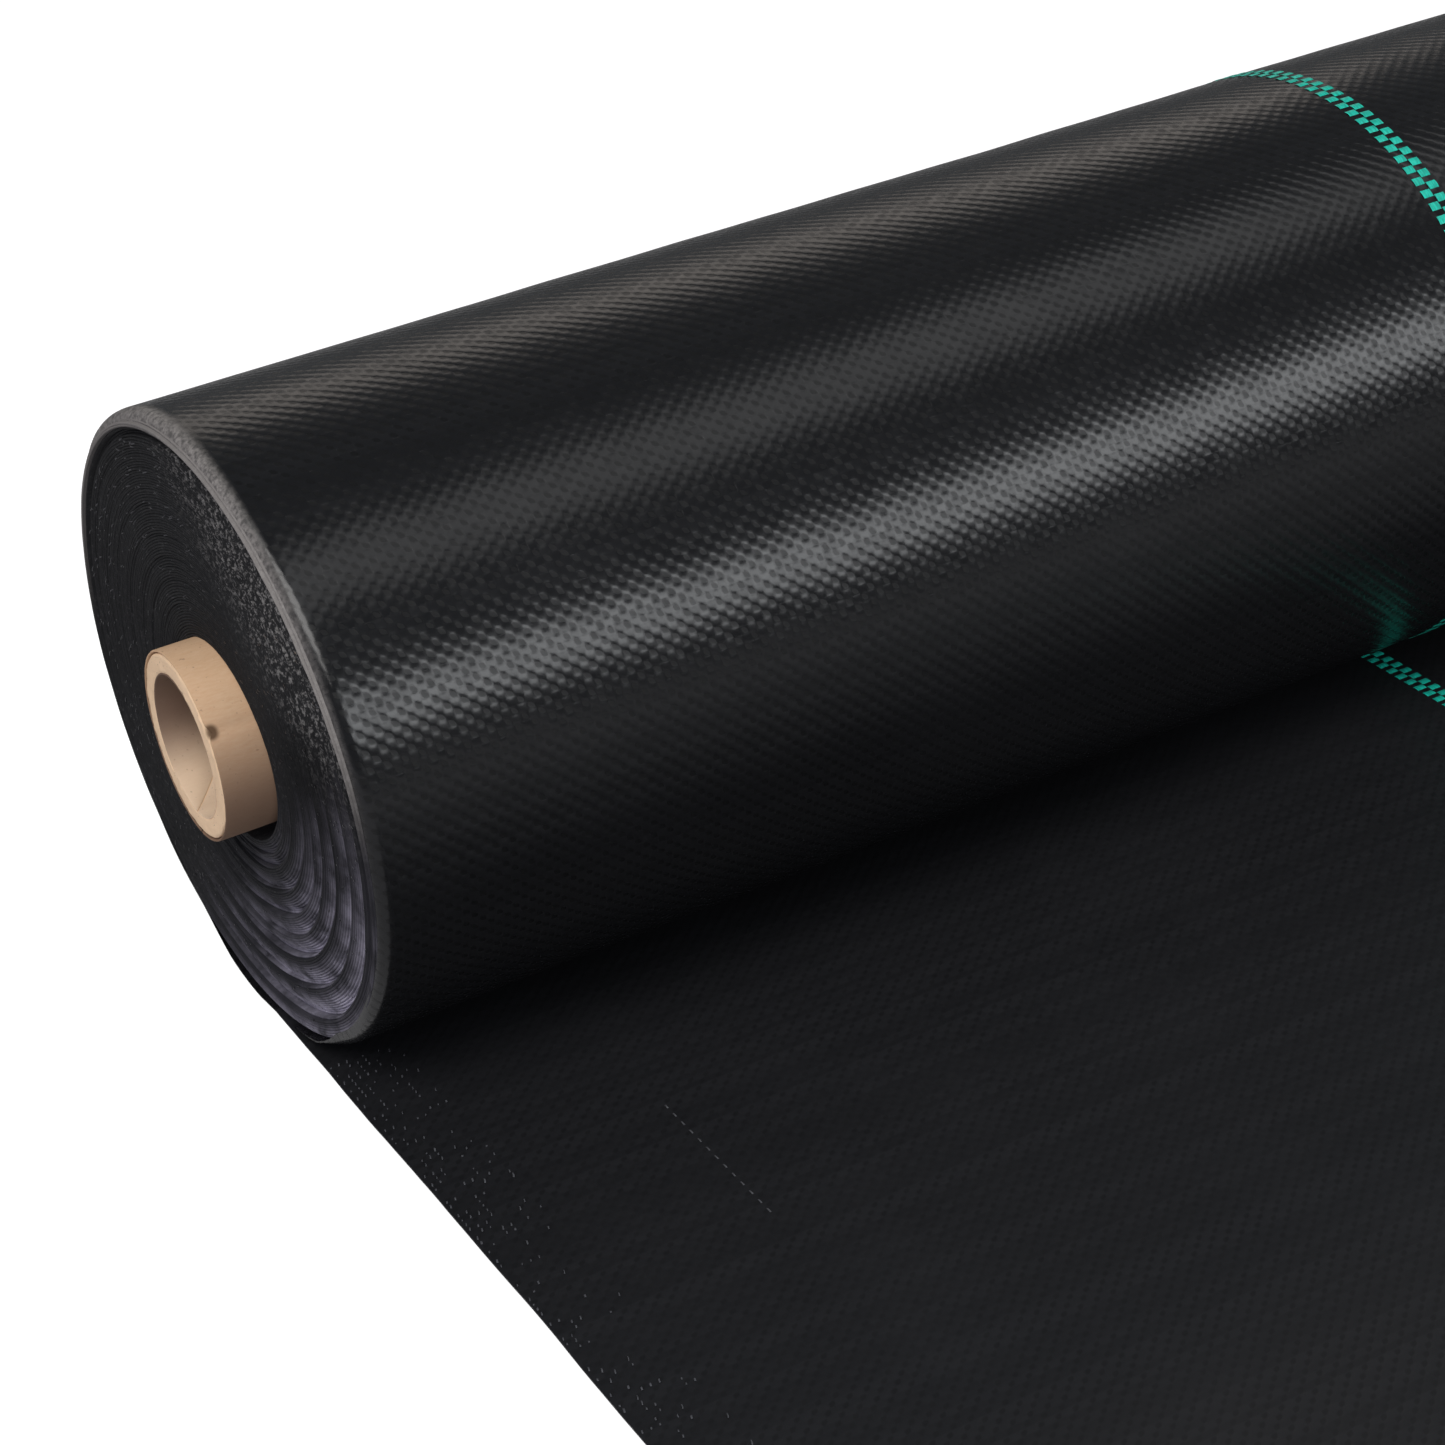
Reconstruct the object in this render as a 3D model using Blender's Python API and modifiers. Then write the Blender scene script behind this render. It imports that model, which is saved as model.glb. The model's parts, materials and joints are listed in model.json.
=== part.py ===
"""A roll of woven weed control fabric on its paper core, with a length of the fabric laid out in front.

Metres, +Z up. The roll's axis lies along X. The fabric lies on the ground towards -Y, passes under
the roll, goes up its back and over its top, and winds in to the core. The origin is on the ground,
under the middle of the whole object.
"""
import math

import bpy
import numpy as np

# The fabric: one woven web, 1 m wide, and the length of it that lies unrolled
FABRIC_WIDTH = 1.000
FABRIC_THICKNESS = 0.0005
LAID_LENGTH = 0.500
ROLL_RADIUS = 0.084
FLAT_DEPTH = 0.0005

# The paper core, with the length that stands out of the roll at each end
CORE_OUTER_RADIUS = 0.0250
CORE_WALL = 0.0065
CORE_OVERHANG = 0.010
CORE_CHAMFER = 0.0006
PLY_THICKNESS = 0.0006
PLY_PITCH = 0.100
PLY_SEAM = 0.0008
PLY_TIP = 0.0020

# The marker stripes: two green warp tapes side by side, at the same distance from each edge
MARKER_FROM_EDGE = 0.335
MARKER_PITCH = 0.0033
MARKER_WIDTH = 0.0030
MARKER_THICKNESS = 0.00015

# The wound pack: each of its turns stands for about seven layers of the fabric
PACK_TURNS = 22
TURN_GAP = 0.00055
STRIP_END_THICKNESS = 0.0005
RIM_SLANT = math.radians(-2.5)

# The roll's ends: a raised rim, a groove inside it, and waves that are highest low at the front
RIM_PROUD = 0.0010
RIM_BAND = 0.0020
GROOVE_DEPTH = 0.0013
GROOVE_IN = 0.0040
GROOVE_BAND = 0.0016
WAVE_HEIGHT = 0.0012
WAVE_PITCH = 0.0079
WAVE_LOW_SHARE = 0.25
WAVE_ANGLE = math.radians(-38)
DISH_DEPTH = 0.0008

# Clearances: between pieces that rest on each other, and round what turns
SEAT_GAP = 0.0003
RUNNING_GAP = 0.0005
CORE_CLEARANCE = 0.0004

# Facets
PACK_SEGMENTS = 28
OUTER_SEGMENTS = 72
CORE_SEGMENTS = 24
SMOOTH_ANGLE = math.radians(30)

# Worked out from the sizes above
FULL_TURN = 2 * math.pi
MM_IN_A_METRE = 1000
CONTACT_Y = (LAID_LENGTH - ROLL_RADIUS) / 2
AXIS_HEIGHT = ROLL_RADIUS - FLAT_DEPTH
FLAT_ANGLE = math.acos(AXIS_HEIGHT / ROLL_RADIUS)
HALF_WIDTH = FABRIC_WIDTH / 2
CORE_HALF_LENGTH = HALF_WIDTH + CORE_OVERHANG
CORE_BORE_RADIUS = CORE_OUTER_RADIUS - CORE_WALL
TURN_DRIFT = FABRIC_THICKNESS
MARKER_PROUD = SEAT_GAP + MARKER_THICKNESS
PACK_RADIUS = ROLL_RADIUS - FABRIC_THICKNESS - max(TURN_DRIFT, FLAT_DEPTH) - RUNNING_GAP
PACK_BORE = CORE_OUTER_RADIUS + CORE_CLEARANCE

# Colour, roughness and metallic of each finish
FINISHES = {
    "black_fabric": ((0.016, 0.016, 0.018), 0.55, 0.0),
    "green_tape": ((0.020, 0.330, 0.240), 0.40, 0.0),
    "cardboard": ((0.480, 0.330, 0.190), 0.85, 0.0),
    "kraft_paper": ((0.560, 0.400, 0.245), 0.80, 0.0),
}


def clear_scene():
    """Remove the objects of whatever scene is open."""
    for item in list(bpy.data.objects):
        bpy.data.objects.remove(item, do_unlink=True)


def part_collection(name):
    """The collection that holds the object's pieces."""
    group = bpy.data.collections.new(name)
    bpy.context.scene.collection.children.link(group)
    return group


def finish(name, node):
    """A Principled material of its own for one piece, in one of the finishes above."""
    colour, roughness, metallic = FINISHES[name]
    material = bpy.data.materials.new(node + "_" + name)
    material.use_nodes = True
    shader = material.node_tree.nodes["Principled BSDF"]
    shader.inputs["Base Color"].default_value = (*colour, 1.0)
    shader.inputs["Roughness"].default_value = roughness
    shader.inputs["Metallic"].default_value = metallic
    return material


def add_piece(name, mesh, finish_name, parent):
    """An object for one piece, with its material, under the empty that carries it."""
    piece = bpy.data.objects.new(name, mesh)
    PARTS.objects.link(piece)
    piece.parent = parent
    mesh.materials.append(finish(finish_name, name))
    return piece


def add_empty(name, place, parent=None):
    """An empty at a joint's axis, or at the origin for what lies still."""
    empty = bpy.data.objects.new(name, None)
    empty.location = place
    empty.parent = parent
    PARTS.objects.link(empty)
    return empty


def shade_round(mesh):
    mesh.shade_smooth()
    mesh.set_sharp_from_angle(angle=SMOOTH_ANGLE)


def wound_strip(name, stations):
    """A closed mesh of a strip bent round the X axis, lofted through its stations.

    A station is (angle, outer radius, inner radius, left x, right x). Angles start straight down
    and grow towards +Y, the way the fabric goes round the roll.
    """
    points = []
    for angle, outer, inner, left, right in stations:
        side, down = math.sin(angle), -math.cos(angle)
        points.append((left, outer * side, outer * down))
        points.append((right, outer * side, outer * down))
        points.append((right, inner * side, inner * down))
        points.append((left, inner * side, inner * down))
    faces = []
    for row in range(len(stations) - 1):
        here, there = 4 * row, 4 * (row + 1)
        for corner in range(4):
            after = (corner + 1) % 4
            faces.append((here + corner, there + corner, there + after, here + after))
    last = 4 * (len(stations) - 1)
    faces.append((0, 1, 2, 3))
    faces.append((last + 3, last + 2, last + 1, last))
    mesh = bpy.data.meshes.new(name)
    mesh.from_pydata(points, [], faces)
    mesh.update()
    shade_round(mesh)
    return mesh


def slant(angle, radius):
    """How far a turn's edges are pushed along X at one angle: the roll's ends lean by RIM_SLANT."""
    return radius * math.sin(angle) * math.tan(RIM_SLANT)


def outer_turn_radius(angle):
    """Outer face of the outermost turn: flat on the ground at first, then in by a layer in a turn."""
    if angle <= FLAT_ANGLE:
        return AXIS_HEIGHT / math.cos(angle)
    return ROLL_RADIUS - TURN_DRIFT * angle / FULL_TURN


def angle_clear_of_ground(radius, height):
    """Angle from straight down at which a circle of this radius round the axis is this high."""
    return math.acos((AXIS_HEIGHT - height) / radius)


def spaced_angles(start, end, segments):
    """Angles from start to end, on the grid of that many segments a turn between the two."""
    step = FULL_TURN / segments
    first, last = math.ceil(start / step), math.floor(end / step)
    grid = [index * step for index in range(first, last + 1)]
    near = step / segments
    inside = [angle for angle in grid if start + near < angle < end - near]
    return [start, *inside, end]


def pack_thickness():
    """Thickness of the pack's full turns, so that they fill the room between core and outer turn."""
    room = PACK_RADIUS - PACK_BORE
    ends = 2 * (STRIP_END_THICKNESS + TURN_GAP)
    return (room - ends - (PACK_TURNS - 2) * TURN_GAP) / (PACK_TURNS - 1)


def telescope(radius, angle):
    """How far a turn's edges are pushed along X, at both ends alike, as the web's width is constant."""
    depth = PACK_RADIUS - radius
    rim = RIM_PROUD * math.exp(-((depth / RIM_BAND) ** 2))
    groove = GROOVE_DEPTH * math.exp(-(((depth - GROOVE_IN) / GROOVE_BAND) ** 2))
    nearness = (1 + math.cos(angle - WAVE_ANGLE)) / 2
    swell = WAVE_HEIGHT * (WAVE_LOW_SHARE + (1 - WAVE_LOW_SHARE) * nearness ** 2)
    wave = swell * math.sin(FULL_TURN * (depth - GROOVE_IN) / WAVE_PITCH)
    dish = DISH_DEPTH * depth / (PACK_RADIUS - PACK_BORE)
    return groove + dish - rim - wave


def pack_stations():
    """Stations of the pack's one unbroken strip, from its outer end in to the core."""
    full = pack_thickness()
    count = PACK_TURNS * PACK_SEGMENTS
    outers, thicknesses, stations = [], [], []
    for index in range(count + 1):
        turns_in = index / PACK_SEGMENTS
        grown = min(1.0, turns_in, PACK_TURNS - turns_in)
        thickness = STRIP_END_THICKNESS + (full - STRIP_END_THICKNESS) * grown
        if index < PACK_SEGMENTS:
            outer = PACK_RADIUS - (STRIP_END_THICKNESS + TURN_GAP) * turns_in
        else:
            outer = outers[index - PACK_SEGMENTS] - thicknesses[index - PACK_SEGMENTS] - TURN_GAP
        outers.append(outer)
        thicknesses.append(thickness)
        angle = FULL_TURN * turns_in
        shift = slant(angle, outer) + telescope(outer, angle)
        stations.append((angle, outer, outer - thickness, shift - HALF_WIDTH, shift + HALF_WIDTH))
    return stations


def face_points(stations, radius_at, x_at=None):
    """Points along a strip, at one of its two faces and, where asked, at one of its two edges."""
    points = []
    for station in stations:
        angle, radius = station[0], station[radius_at]
        x = 0.0 if x_at is None else station[x_at]
        points.append((x, radius * math.sin(angle), -radius * math.cos(angle)))
    return np.array(points)


def least_gap(points, facing, segments):
    """Smallest distance from a winding's points to the line that faces them one turn further on."""
    least = math.inf
    for index in range(segments, len(facing) - 1):
        start = facing[index]
        along = facing[index + 1] - start
        for back in range(max(0, index - segments - 1), index - segments + 3):
            share = np.clip(np.dot(points[back] - start, along) / np.dot(along, along), 0.0, 1.0)
            least = min(least, np.linalg.norm(points[back] - start - share * along))
    return least


def make_pack(axis):
    """The wound pack: the fabric from the outer turn in to the core."""
    stations = pack_stations()
    gap = least_gap(face_points(stations, 2), face_points(stations, 1), PACK_SEGMENTS)
    print("least gap of wound_pack to itself: %.3f mm" % (gap * MM_IN_A_METRE))
    add_piece("wound_pack", wound_strip("wound_pack", stations), "black_fabric", axis)


def turn_end_angle():
    """Where the outer turn stops, just above the laid fabric and in front of the ground line."""
    inside = ROLL_RADIUS - TURN_DRIFT
    return FULL_TURN - angle_clear_of_ground(inside, FABRIC_THICKNESS + SEAT_GAP)


def make_outer_turn(axis):
    """The outermost turn, from the ground line round to the front."""
    stations = []
    flat = spaced_angles(0.0, FLAT_ANGLE, OUTER_SEGMENTS)
    for angle in flat[:-1] + spaced_angles(FLAT_ANGLE, turn_end_angle(), OUTER_SEGMENTS):
        outer = outer_turn_radius(angle)
        shift = slant(angle, outer)
        stations.append((angle, outer, outer - FABRIC_THICKNESS, shift - HALF_WIDTH, shift + HALF_WIDTH))
    add_piece("outer_turn", wound_strip("outer_turn", stations), "black_fabric", axis)


def marker_places():
    """Name ending and middle x of each marker tape."""
    places = []
    for stripe, side in (("left", -1), ("right", 1)):
        middle = side * (HALF_WIDTH - MARKER_FROM_EDGE)
        for tape, step in (("a", -1), ("b", 1)):
            places.append((stripe + "_" + tape, middle + step * MARKER_PITCH / 2))
    return places


def make_turn_markers(axis):
    """The marker tapes' stretch round the outer turn, clear of the ground and of the laid fabric."""
    proudest = ROLL_RADIUS + MARKER_PROUD
    start = angle_clear_of_ground(proudest, SEAT_GAP)
    below = FABRIC_THICKNESS + MARKER_PROUD + SEAT_GAP
    end = FULL_TURN - angle_clear_of_ground(proudest - TURN_DRIFT, below)
    for ending, middle in marker_places():
        stations = []
        for angle in spaced_angles(start, end, OUTER_SEGMENTS):
            inner = outer_turn_radius(angle) + SEAT_GAP
            shift = slant(angle, inner) + middle
            left, right = shift - MARKER_WIDTH / 2, shift + MARKER_WIDTH / 2
            stations.append((angle, inner + MARKER_THICKNESS, inner, left, right))
        name = "turn_marker_" + ending
        add_piece(name, wound_strip(name, stations), "green_tape", axis)


def box_mesh(name, low, high):
    """A box from its lowest to its highest corner, made from the cube primitive."""
    bpy.ops.mesh.primitive_cube_add(size=1.0, location=(0, 0, 0))
    cube = bpy.context.active_object
    mesh = cube.data
    mesh.name = name
    for vertex in mesh.vertices:
        for k in range(3):
            vertex.co[k] = low[k] + (vertex.co[k] + 0.5) * (high[k] - low[k])
    bpy.data.objects.remove(cube, do_unlink=True)
    return mesh


def make_laid_fabric(ground):
    """The unrolled length on the ground, up to the line where the roll stands on it."""
    front, back = CONTACT_Y - LAID_LENGTH, CONTACT_Y - SEAT_GAP
    mesh = box_mesh("laid_sheet", (-HALF_WIDTH, front, 0), (HALF_WIDTH, back, FABRIC_THICKNESS))
    add_piece("laid_sheet", mesh, "black_fabric", ground)
    underside = FABRIC_THICKNESS + SEAT_GAP
    top = underside + MARKER_THICKNESS
    inside = ROLL_RADIUS - TURN_DRIFT
    clear = angle_clear_of_ground(inside, top + SEAT_GAP)
    tape_back = CONTACT_Y - inside * math.sin(clear)
    for ending, middle in marker_places():
        name = "laid_marker_" + ending
        low = (middle - MARKER_WIDTH / 2, front, underside)
        high = (middle + MARKER_WIDTH / 2, tape_back, top)
        add_piece(name, box_mesh(name, low, high), "green_tape", ground)


def make_core_wall(axis):
    """The core's board: a turned tube with its cut ends eased."""
    inner = CORE_BORE_RADIUS + PLY_THICKNESS + SEAT_GAP
    outer = CORE_OUTER_RADIUS - PLY_THICKNESS - SEAT_GAP
    end, ease = CORE_HALF_LENGTH, min(CORE_CHAMFER, (outer - inner) / 4)
    profile = (
        (outer, end - ease), (outer, ease - end), (outer - ease, -end), (inner + ease, -end),
        (inner, ease - end), (inner, end - ease), (inner + ease, end), (outer - ease, end),
    )
    mesh = bpy.data.meshes.new("core_wall")
    links = [(k, (k + 1) % len(profile)) for k in range(len(profile))]
    mesh.from_pydata([(radius, 0, height) for radius, height in profile], links, [])
    wall = add_piece("core_wall", mesh, "cardboard", axis)
    wall.rotation_euler = (0, math.pi / 2, 0)
    turn = wall.modifiers.new("turn", "SCREW")
    turn.axis = "Z"
    turn.angle = FULL_TURN
    turn.steps = CORE_SEGMENTS
    turn.render_steps = CORE_SEGMENTS
    turn.use_merge_vertices = True
    turn.merge_threshold = 0.00005
    turn.use_smooth_shade = False


def make_ply(name, inner, axis):
    """One paper ply: a long strip wound round the core, its edges nearly butting along a helix."""
    half = CORE_HALF_LENGTH
    band = PLY_PITCH - PLY_SEAM
    start = FULL_TURN * PLY_TIP / PLY_PITCH
    end = FULL_TURN * (2 * half + band - PLY_TIP) / PLY_PITCH
    stations = []
    for angle in spaced_angles(start, end, CORE_SEGMENTS):
        leading = PLY_PITCH * angle / FULL_TURN - half
        left, right = max(-half, leading - band), min(half, leading)
        stations.append((angle, inner + PLY_THICKNESS, inner, left, right))
    gap = least_gap(face_points(stations, 2, 4), face_points(stations, 2, 3), CORE_SEGMENTS)
    print("least gap of %s to itself: %.3f mm" % (name, gap * MM_IN_A_METRE))
    add_piece(name, wound_strip(name, stations), "kraft_paper", axis)


clear_scene()
PARTS = part_collection("weed_fabric_roll")
laid = add_empty("ground_line", (0, 0, 0))
travel = add_empty("roll_travel", (0, CONTACT_Y, AXIS_HEIGHT))
turning = add_empty("roll_turn", (0, 0, 0), travel)
make_laid_fabric(laid)
make_outer_turn(travel)
make_turn_markers(travel)
make_pack(turning)
make_core_wall(turning)
make_ply("core_inner_ply", CORE_BORE_RADIUS, turning)
make_ply("core_outer_ply", CORE_OUTER_RADIUS - PLY_THICKNESS, turning)
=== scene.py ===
"""Looks of a roll of woven weed control fabric, with a length of it laid out in front.

Run it as a script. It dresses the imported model, which is in metres with +Z up: the roll's axis lies
along X, and the fabric runs over the ground towards -Y.
"""
import json
import math

import bpy
import numpy as np
from bpy.props import FloatProperty, FloatVectorProperty, IntProperty, PointerProperty
from mathutils import Matrix, Vector, noise


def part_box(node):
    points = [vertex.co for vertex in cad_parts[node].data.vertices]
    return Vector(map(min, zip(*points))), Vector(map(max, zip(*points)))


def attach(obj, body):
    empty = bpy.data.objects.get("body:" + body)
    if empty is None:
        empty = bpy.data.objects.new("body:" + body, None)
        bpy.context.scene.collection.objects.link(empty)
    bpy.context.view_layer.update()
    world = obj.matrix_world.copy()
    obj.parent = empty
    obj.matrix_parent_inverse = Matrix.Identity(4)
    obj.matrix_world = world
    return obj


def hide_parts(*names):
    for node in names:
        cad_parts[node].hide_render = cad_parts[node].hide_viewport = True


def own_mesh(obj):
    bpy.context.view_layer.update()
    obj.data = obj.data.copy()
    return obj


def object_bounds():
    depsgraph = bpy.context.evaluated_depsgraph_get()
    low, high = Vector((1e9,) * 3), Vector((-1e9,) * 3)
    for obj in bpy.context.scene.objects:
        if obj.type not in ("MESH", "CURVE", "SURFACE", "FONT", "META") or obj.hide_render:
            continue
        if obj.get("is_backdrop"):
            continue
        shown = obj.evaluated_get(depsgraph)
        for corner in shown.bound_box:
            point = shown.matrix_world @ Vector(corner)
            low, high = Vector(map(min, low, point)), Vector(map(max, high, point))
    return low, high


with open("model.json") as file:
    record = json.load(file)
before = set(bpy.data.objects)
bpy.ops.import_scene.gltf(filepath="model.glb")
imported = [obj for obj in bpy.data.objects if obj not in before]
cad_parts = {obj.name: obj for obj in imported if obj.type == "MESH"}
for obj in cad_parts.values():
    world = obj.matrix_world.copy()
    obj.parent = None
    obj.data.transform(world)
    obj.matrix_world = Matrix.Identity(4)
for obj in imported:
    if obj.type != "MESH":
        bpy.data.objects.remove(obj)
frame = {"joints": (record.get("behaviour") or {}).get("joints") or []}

bl_info = {
    "name": "Weed control fabric roll",
    "version": (1, 0, 0),
    "blender": (4, 5, 0),
    "location": "View3D > Sidebar > Fabric roll",
    "description": "Dresses a roll of woven ground cover on its paper core",
    "category": "Object",
}

# What the frame gives: the boxes of its pieces and the roll's axis
CAD_LOW, CAD_HIGH = (tuple(corner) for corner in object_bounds())
JOINTS = {joint["name"]: joint for joint in frame["joints"]}
AXIS_Y, AXIS_Z = JOINTS["roll_turn"]["pos_m"][1:3]
SHEET_LOW, SHEET_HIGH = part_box("laid_sheet")
HALF_WIDTH = SHEET_HIGH.x
LAID_LENGTH = SHEET_HIGH.y - SHEET_LOW.y
CORE_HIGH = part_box("core_wall")[1]
CORE_HALF_LENGTH = CORE_HIGH.x
BOARD_RADIUS = CORE_HIGH.z - AXIS_Z
CORE_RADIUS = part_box("core_outer_ply")[1].z - AXIS_Z

MM = 0.001
FULL_TURN = 2 * math.pi
SMOOTH_ANGLE = math.radians(40)
STEPS_PER_TURN = 180
MARKERS = ("left_a", "left_b", "right_a", "right_b")

# The web's edge: columns of its mesh, close together where it rounds over, and the margin they fill
EDGE_COLUMNS_MM = (0.0, 0.25, 0.6, 1.1, 1.7, 2.4, 3.2, 4.2, 5.5, 7.2, 9.5, 12.5, 16.0)
EDGE_MARGIN = 0.020

# Columns between the two margins on the outer turn and on the laid length, and rows along the
# laid length
TURN_COLUMNS = 241
LAID_COLUMNS = 121
LAID_ROWS = 101

# The outer turn's pull marks and swells: their slant, their size along and across it, and a seed
PULL_MARKS = (math.radians(28), (0.017, 0.060), 3.0)
SWELLS = (math.radians(8), (0.090, 0.300), 7.0)
MARK_HEIGHT = 0.00011
SWELL_HEIGHT = 0.00030
RIPPLE_SINK = 0.00020

# The outer turn: how high it ends above the ground, where it comes free of the ground, how much its
# edges wander and are worn, and the share of the fabric's thickness that it is drawn with. Here and
# below, an unevenness is given as its height, the size of its features and a seed
TURN_END_HEIGHT = 0.0008
FREE_FROM = 0.004
FREE_OVER = 0.03
TURN_WANDER = (0.0005, 0.030, 5.0)
TURN_WEAR = (0.00012, 0.016, 8.0)
DRAWN_THICKNESS = 0.8

# The laid fabric: its slight waves, and the wandering and lift of its edges
WAVES_END = 0.02
WAVES_FADE = 0.08
WAVE_RISE = 0.0006
WAVES = (0.0005, 0.09, 1.0)
SMALL_WAVES = (0.00015, 0.03, 4.0)
LAID_EDGE = 0.004
LAID_WANDER = (0.0006, 0.035, 9.0)
EDGE_LIFT = 0.0002
EDGE_LIFT_VARIES = (0.0003, 0.012, 6.0)

# Folds of loosened layers in the roll's ends: where each begins and how far it reaches in towards
# the core, how deep it steps in (mm), and the angle where it is deepest and its spread (degrees)
FOLDS = (
    (83.6, 8.0, 0.9, -16, 36),
    (75.5, 8.5, 3.0, -32, 48), (67.5, 7.5, 2.3, -42, 56), (60.5, 7.0, 2.8, -35, 46),
    (54.0, 7.0, 1.9, -52, 58), (47.5, 6.5, 2.8, -38, 42), (41.5, 6.0, 2.1, -46, 50),
    (35.5, 5.5, 1.7, -30, 46), (30.5, 4.5, 1.2, -40, 56),
)
FOLD_WANDER = 0.0009
FOLD_EVERYWHERE = 0.16
SHADE_EVERYWHERE = 0.10
FOLD_SHADE = "Fold shade"

# The raised rim of the roll's ends, the groove inside it and the dish towards the core
RIM_PROUD = 0.0010
RIM_INSIDE = 0.0004
GROOVE_DEPTH = 0.0017
GROOVE_INSIDE = 0.0024
RIM_BAND = 0.0009
RIM_DRIFT = 0.0002
DISH_DEPTH = 0.0008
DISH_FROM = 0.026
DISH_BAND = 0.030

# The loosened inner layers: how far they sag, in which direction, and where they are free to
SAG = 0.0019
SAG_ANGLE = math.radians(-22)
SAG_FROM = 0.0254
SAG_BAND = 0.040

# The drawn layers: their place between core and outer turn, and how ragged their edges are, with a
# more ragged patch whose place is an angle and a distance from the axis in mm
LAYERS_UNDER_TURN = 3.1
LAYERS_OVER_CORE = 0.0022
LAYER_FILL = 0.92
LAYER_TIP = 0.00012
UNEVEN_TURNS = 0.00016
RAGGED = (0.00009, 0.0006)
FINELY_RAGGED = (0.00006, 0.0005)
PATCH_ANGLE = math.radians(-135)
PATCH_SPREAD = math.radians(30)
PATCH_PLACE_MM = 66
PATCH_BAND_MM = 13

# Bare tape ends at each end of the roll: how many, where they are, and their sizes, each as its
# least and what chance adds to it
STRAY_COUNT = 700
STRAY_FROM = 0.0280
STRAY_TO = 0.0770
STRAY_PROUD = 0.0001
STRAY_LENGTH = (0.0005, 0.0013)
STRAY_WIDTH = (0.00018, 0.00022)

# Lifted tape corners along the laid fabric's edges: columns of crossings that have them, the length
# at the roll that has none, how they thin out inwards, the size of their clumps, and their sizes,
# each as its least and what chance adds to it
FRAY_COLUMNS = 9
FRAY_STOPS = 0.03
FRAY_REACH = 0.013
FRAY_CLUMP = 0.034
FRAY_RISE = 0.0002
FRAY_LENGTH = (0.0006, 0.0009)
FRAY_WIDTH = (0.00025, 0.0002)

# How far a bare slip of tape bends up in its middle, as a share of its length
FLAKE_BEND = 0.12

# The green tapes: their width, how long and high their stretches on top of the weave are, how far
# they lie above the fabric, and where they begin and end round the outer turn
MARKER_WIDTH = 0.0030
MARKER_STRETCH = 1.16
LAID_MARKER_HEIGHT = 0.00022
TURN_MARKER_HEIGHT = 0.00024
LAID_MARKER_LIFT = 0.00008
TURN_MARKER_LIFT = 0.00010
TURN_MARKER_START = math.radians(10)
TURN_MARKER_STOP = math.radians(349)

# The pale yarn: how far it is from the edge, its sizes, and where each stretch that shows begins
# and ends along Y
YARN_FROM_EDGE = 0.062
YARN_WIDTH = 0.0004
YARN_STRETCH = 0.8
YARN_HEIGHT = 0.00016
YARN_LIFT = 0.00006
YARN_STRETCHES = ((-0.272, -0.214), (-0.118, -0.062), (0.055, 0.112))

# The core's whole wall, and its board: the board's own wall, its clearance under the outer paper,
# its rim, and places along it that are close together at the ends
CORE_WALL = 0.0065
BOARD_WALL = 0.0052
BOARD_CLEARANCE = 0.0001
BOARD_BEVEL_LENGTH = 0.0004
BOARD_BEVEL_RISE = 0.0005
BOARD_ENDS_MM = (0.0, 0.3, 0.8, 1.6, 3.0, 6.0, 12.0, 30.0)
CORE_SIDES = 144
RIM_DEPTH = 0.0006
COARSE_ROUGH = (0.00022, 0.0022, 2.0)
FINE_ROUGH = (0.00012, 0.0008, 3.0)

# The paper plies: their first angle, what their last turn stops short by, and their worn edges
PLY_START = 0.02
PLY_SHORT = 0.0003
PLY_WEAR = 0.00030
PLY_WEAR_SHARE = 0.3
PLY_ROUGH = (0.00010, 0.0015, 6.0)

# The nick in the core's near rim, the burr beside it and the darkening round it: angles in degrees
NICK_ANGLE = -122
NICK_WIDTH = 0.0012
NICK_DEPTH = 0.0014
NICK_PULL = 0.022
BURR_ANGLE = -131
BURR_INSIDE = 0.0022
BURR_WIDTH = 0.0011
BURR_HEIGHT = 0.0003
NICK_DARK_BEHIND = 0.0009
NICK_DARK_FADE = (0.0026, 0.0012)

# Colours of bare tape and thin yarn
BARE_TAPE = (0.020, 0.020, 0.022)
FRAYED_TAPE = (0.040, 0.041, 0.046)
PALE_YARN = (0.040, 0.041, 0.045)

# Colours in the edges of the wound layers: fuzz, specks of bare tape painted pale as glints,
# painted shade on the layers at the front, and the painted dark and lit part of a fold
EDGE_FUZZ = (0.044, 0.044, 0.045, 1.0)
EDGE_GLINT = (0.150, 0.146, 0.142, 1.0)
EDGE_PAINTED_SHADE = (0.0022, 0.0022, 0.0026, 1.0)
FOLD_DARK = (0.014, 0.014, 0.018, 1.0)
FOLD_LIT = (0.460, 0.435, 0.540, 1.0)

# Where the layers' edges differ, in metres from the roll's axis: loosened ones in one direction,
# specks painted as glints up at the front, painted shade at the front below the specks, and from
# about the axis up the part where the dust on the rim is painted pale, as lit, while lower down it
# is left dark, as in shade. The dust is measured in from the rim
LOOSE_ANGLE = math.radians(-36)
LOOSE_REACH = (0.016, 0.066)
GLINT_REACH = (0.036, 0.066)
PAINTED_SHADE_FORWARD = (-0.024, -0.052)
PAINTED_SHADE_UP = (0.034, 0.010)
LIT_UP = (-0.004, 0.040)
DUST_IN = (0.0016, 0.0004)

# Colours in the paper: blotches, fibres and specks, paper browned partly by ageing and partly as
# painted shade, and the darkening round the nick
PAPER_BLOTCH = (0.30, 0.19, 0.10, 1.0)
PAPER_FIBRE = (0.82, 0.68, 0.50, 1.0)
PAPER_SPECK = (0.10, 0.06, 0.035, 1.0)
PAPER_BROWNED = (0.115, 0.068, 0.050, 1.0)
PAPER_NICK_DARK = (0.085, 0.045, 0.022, 1.0)

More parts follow.
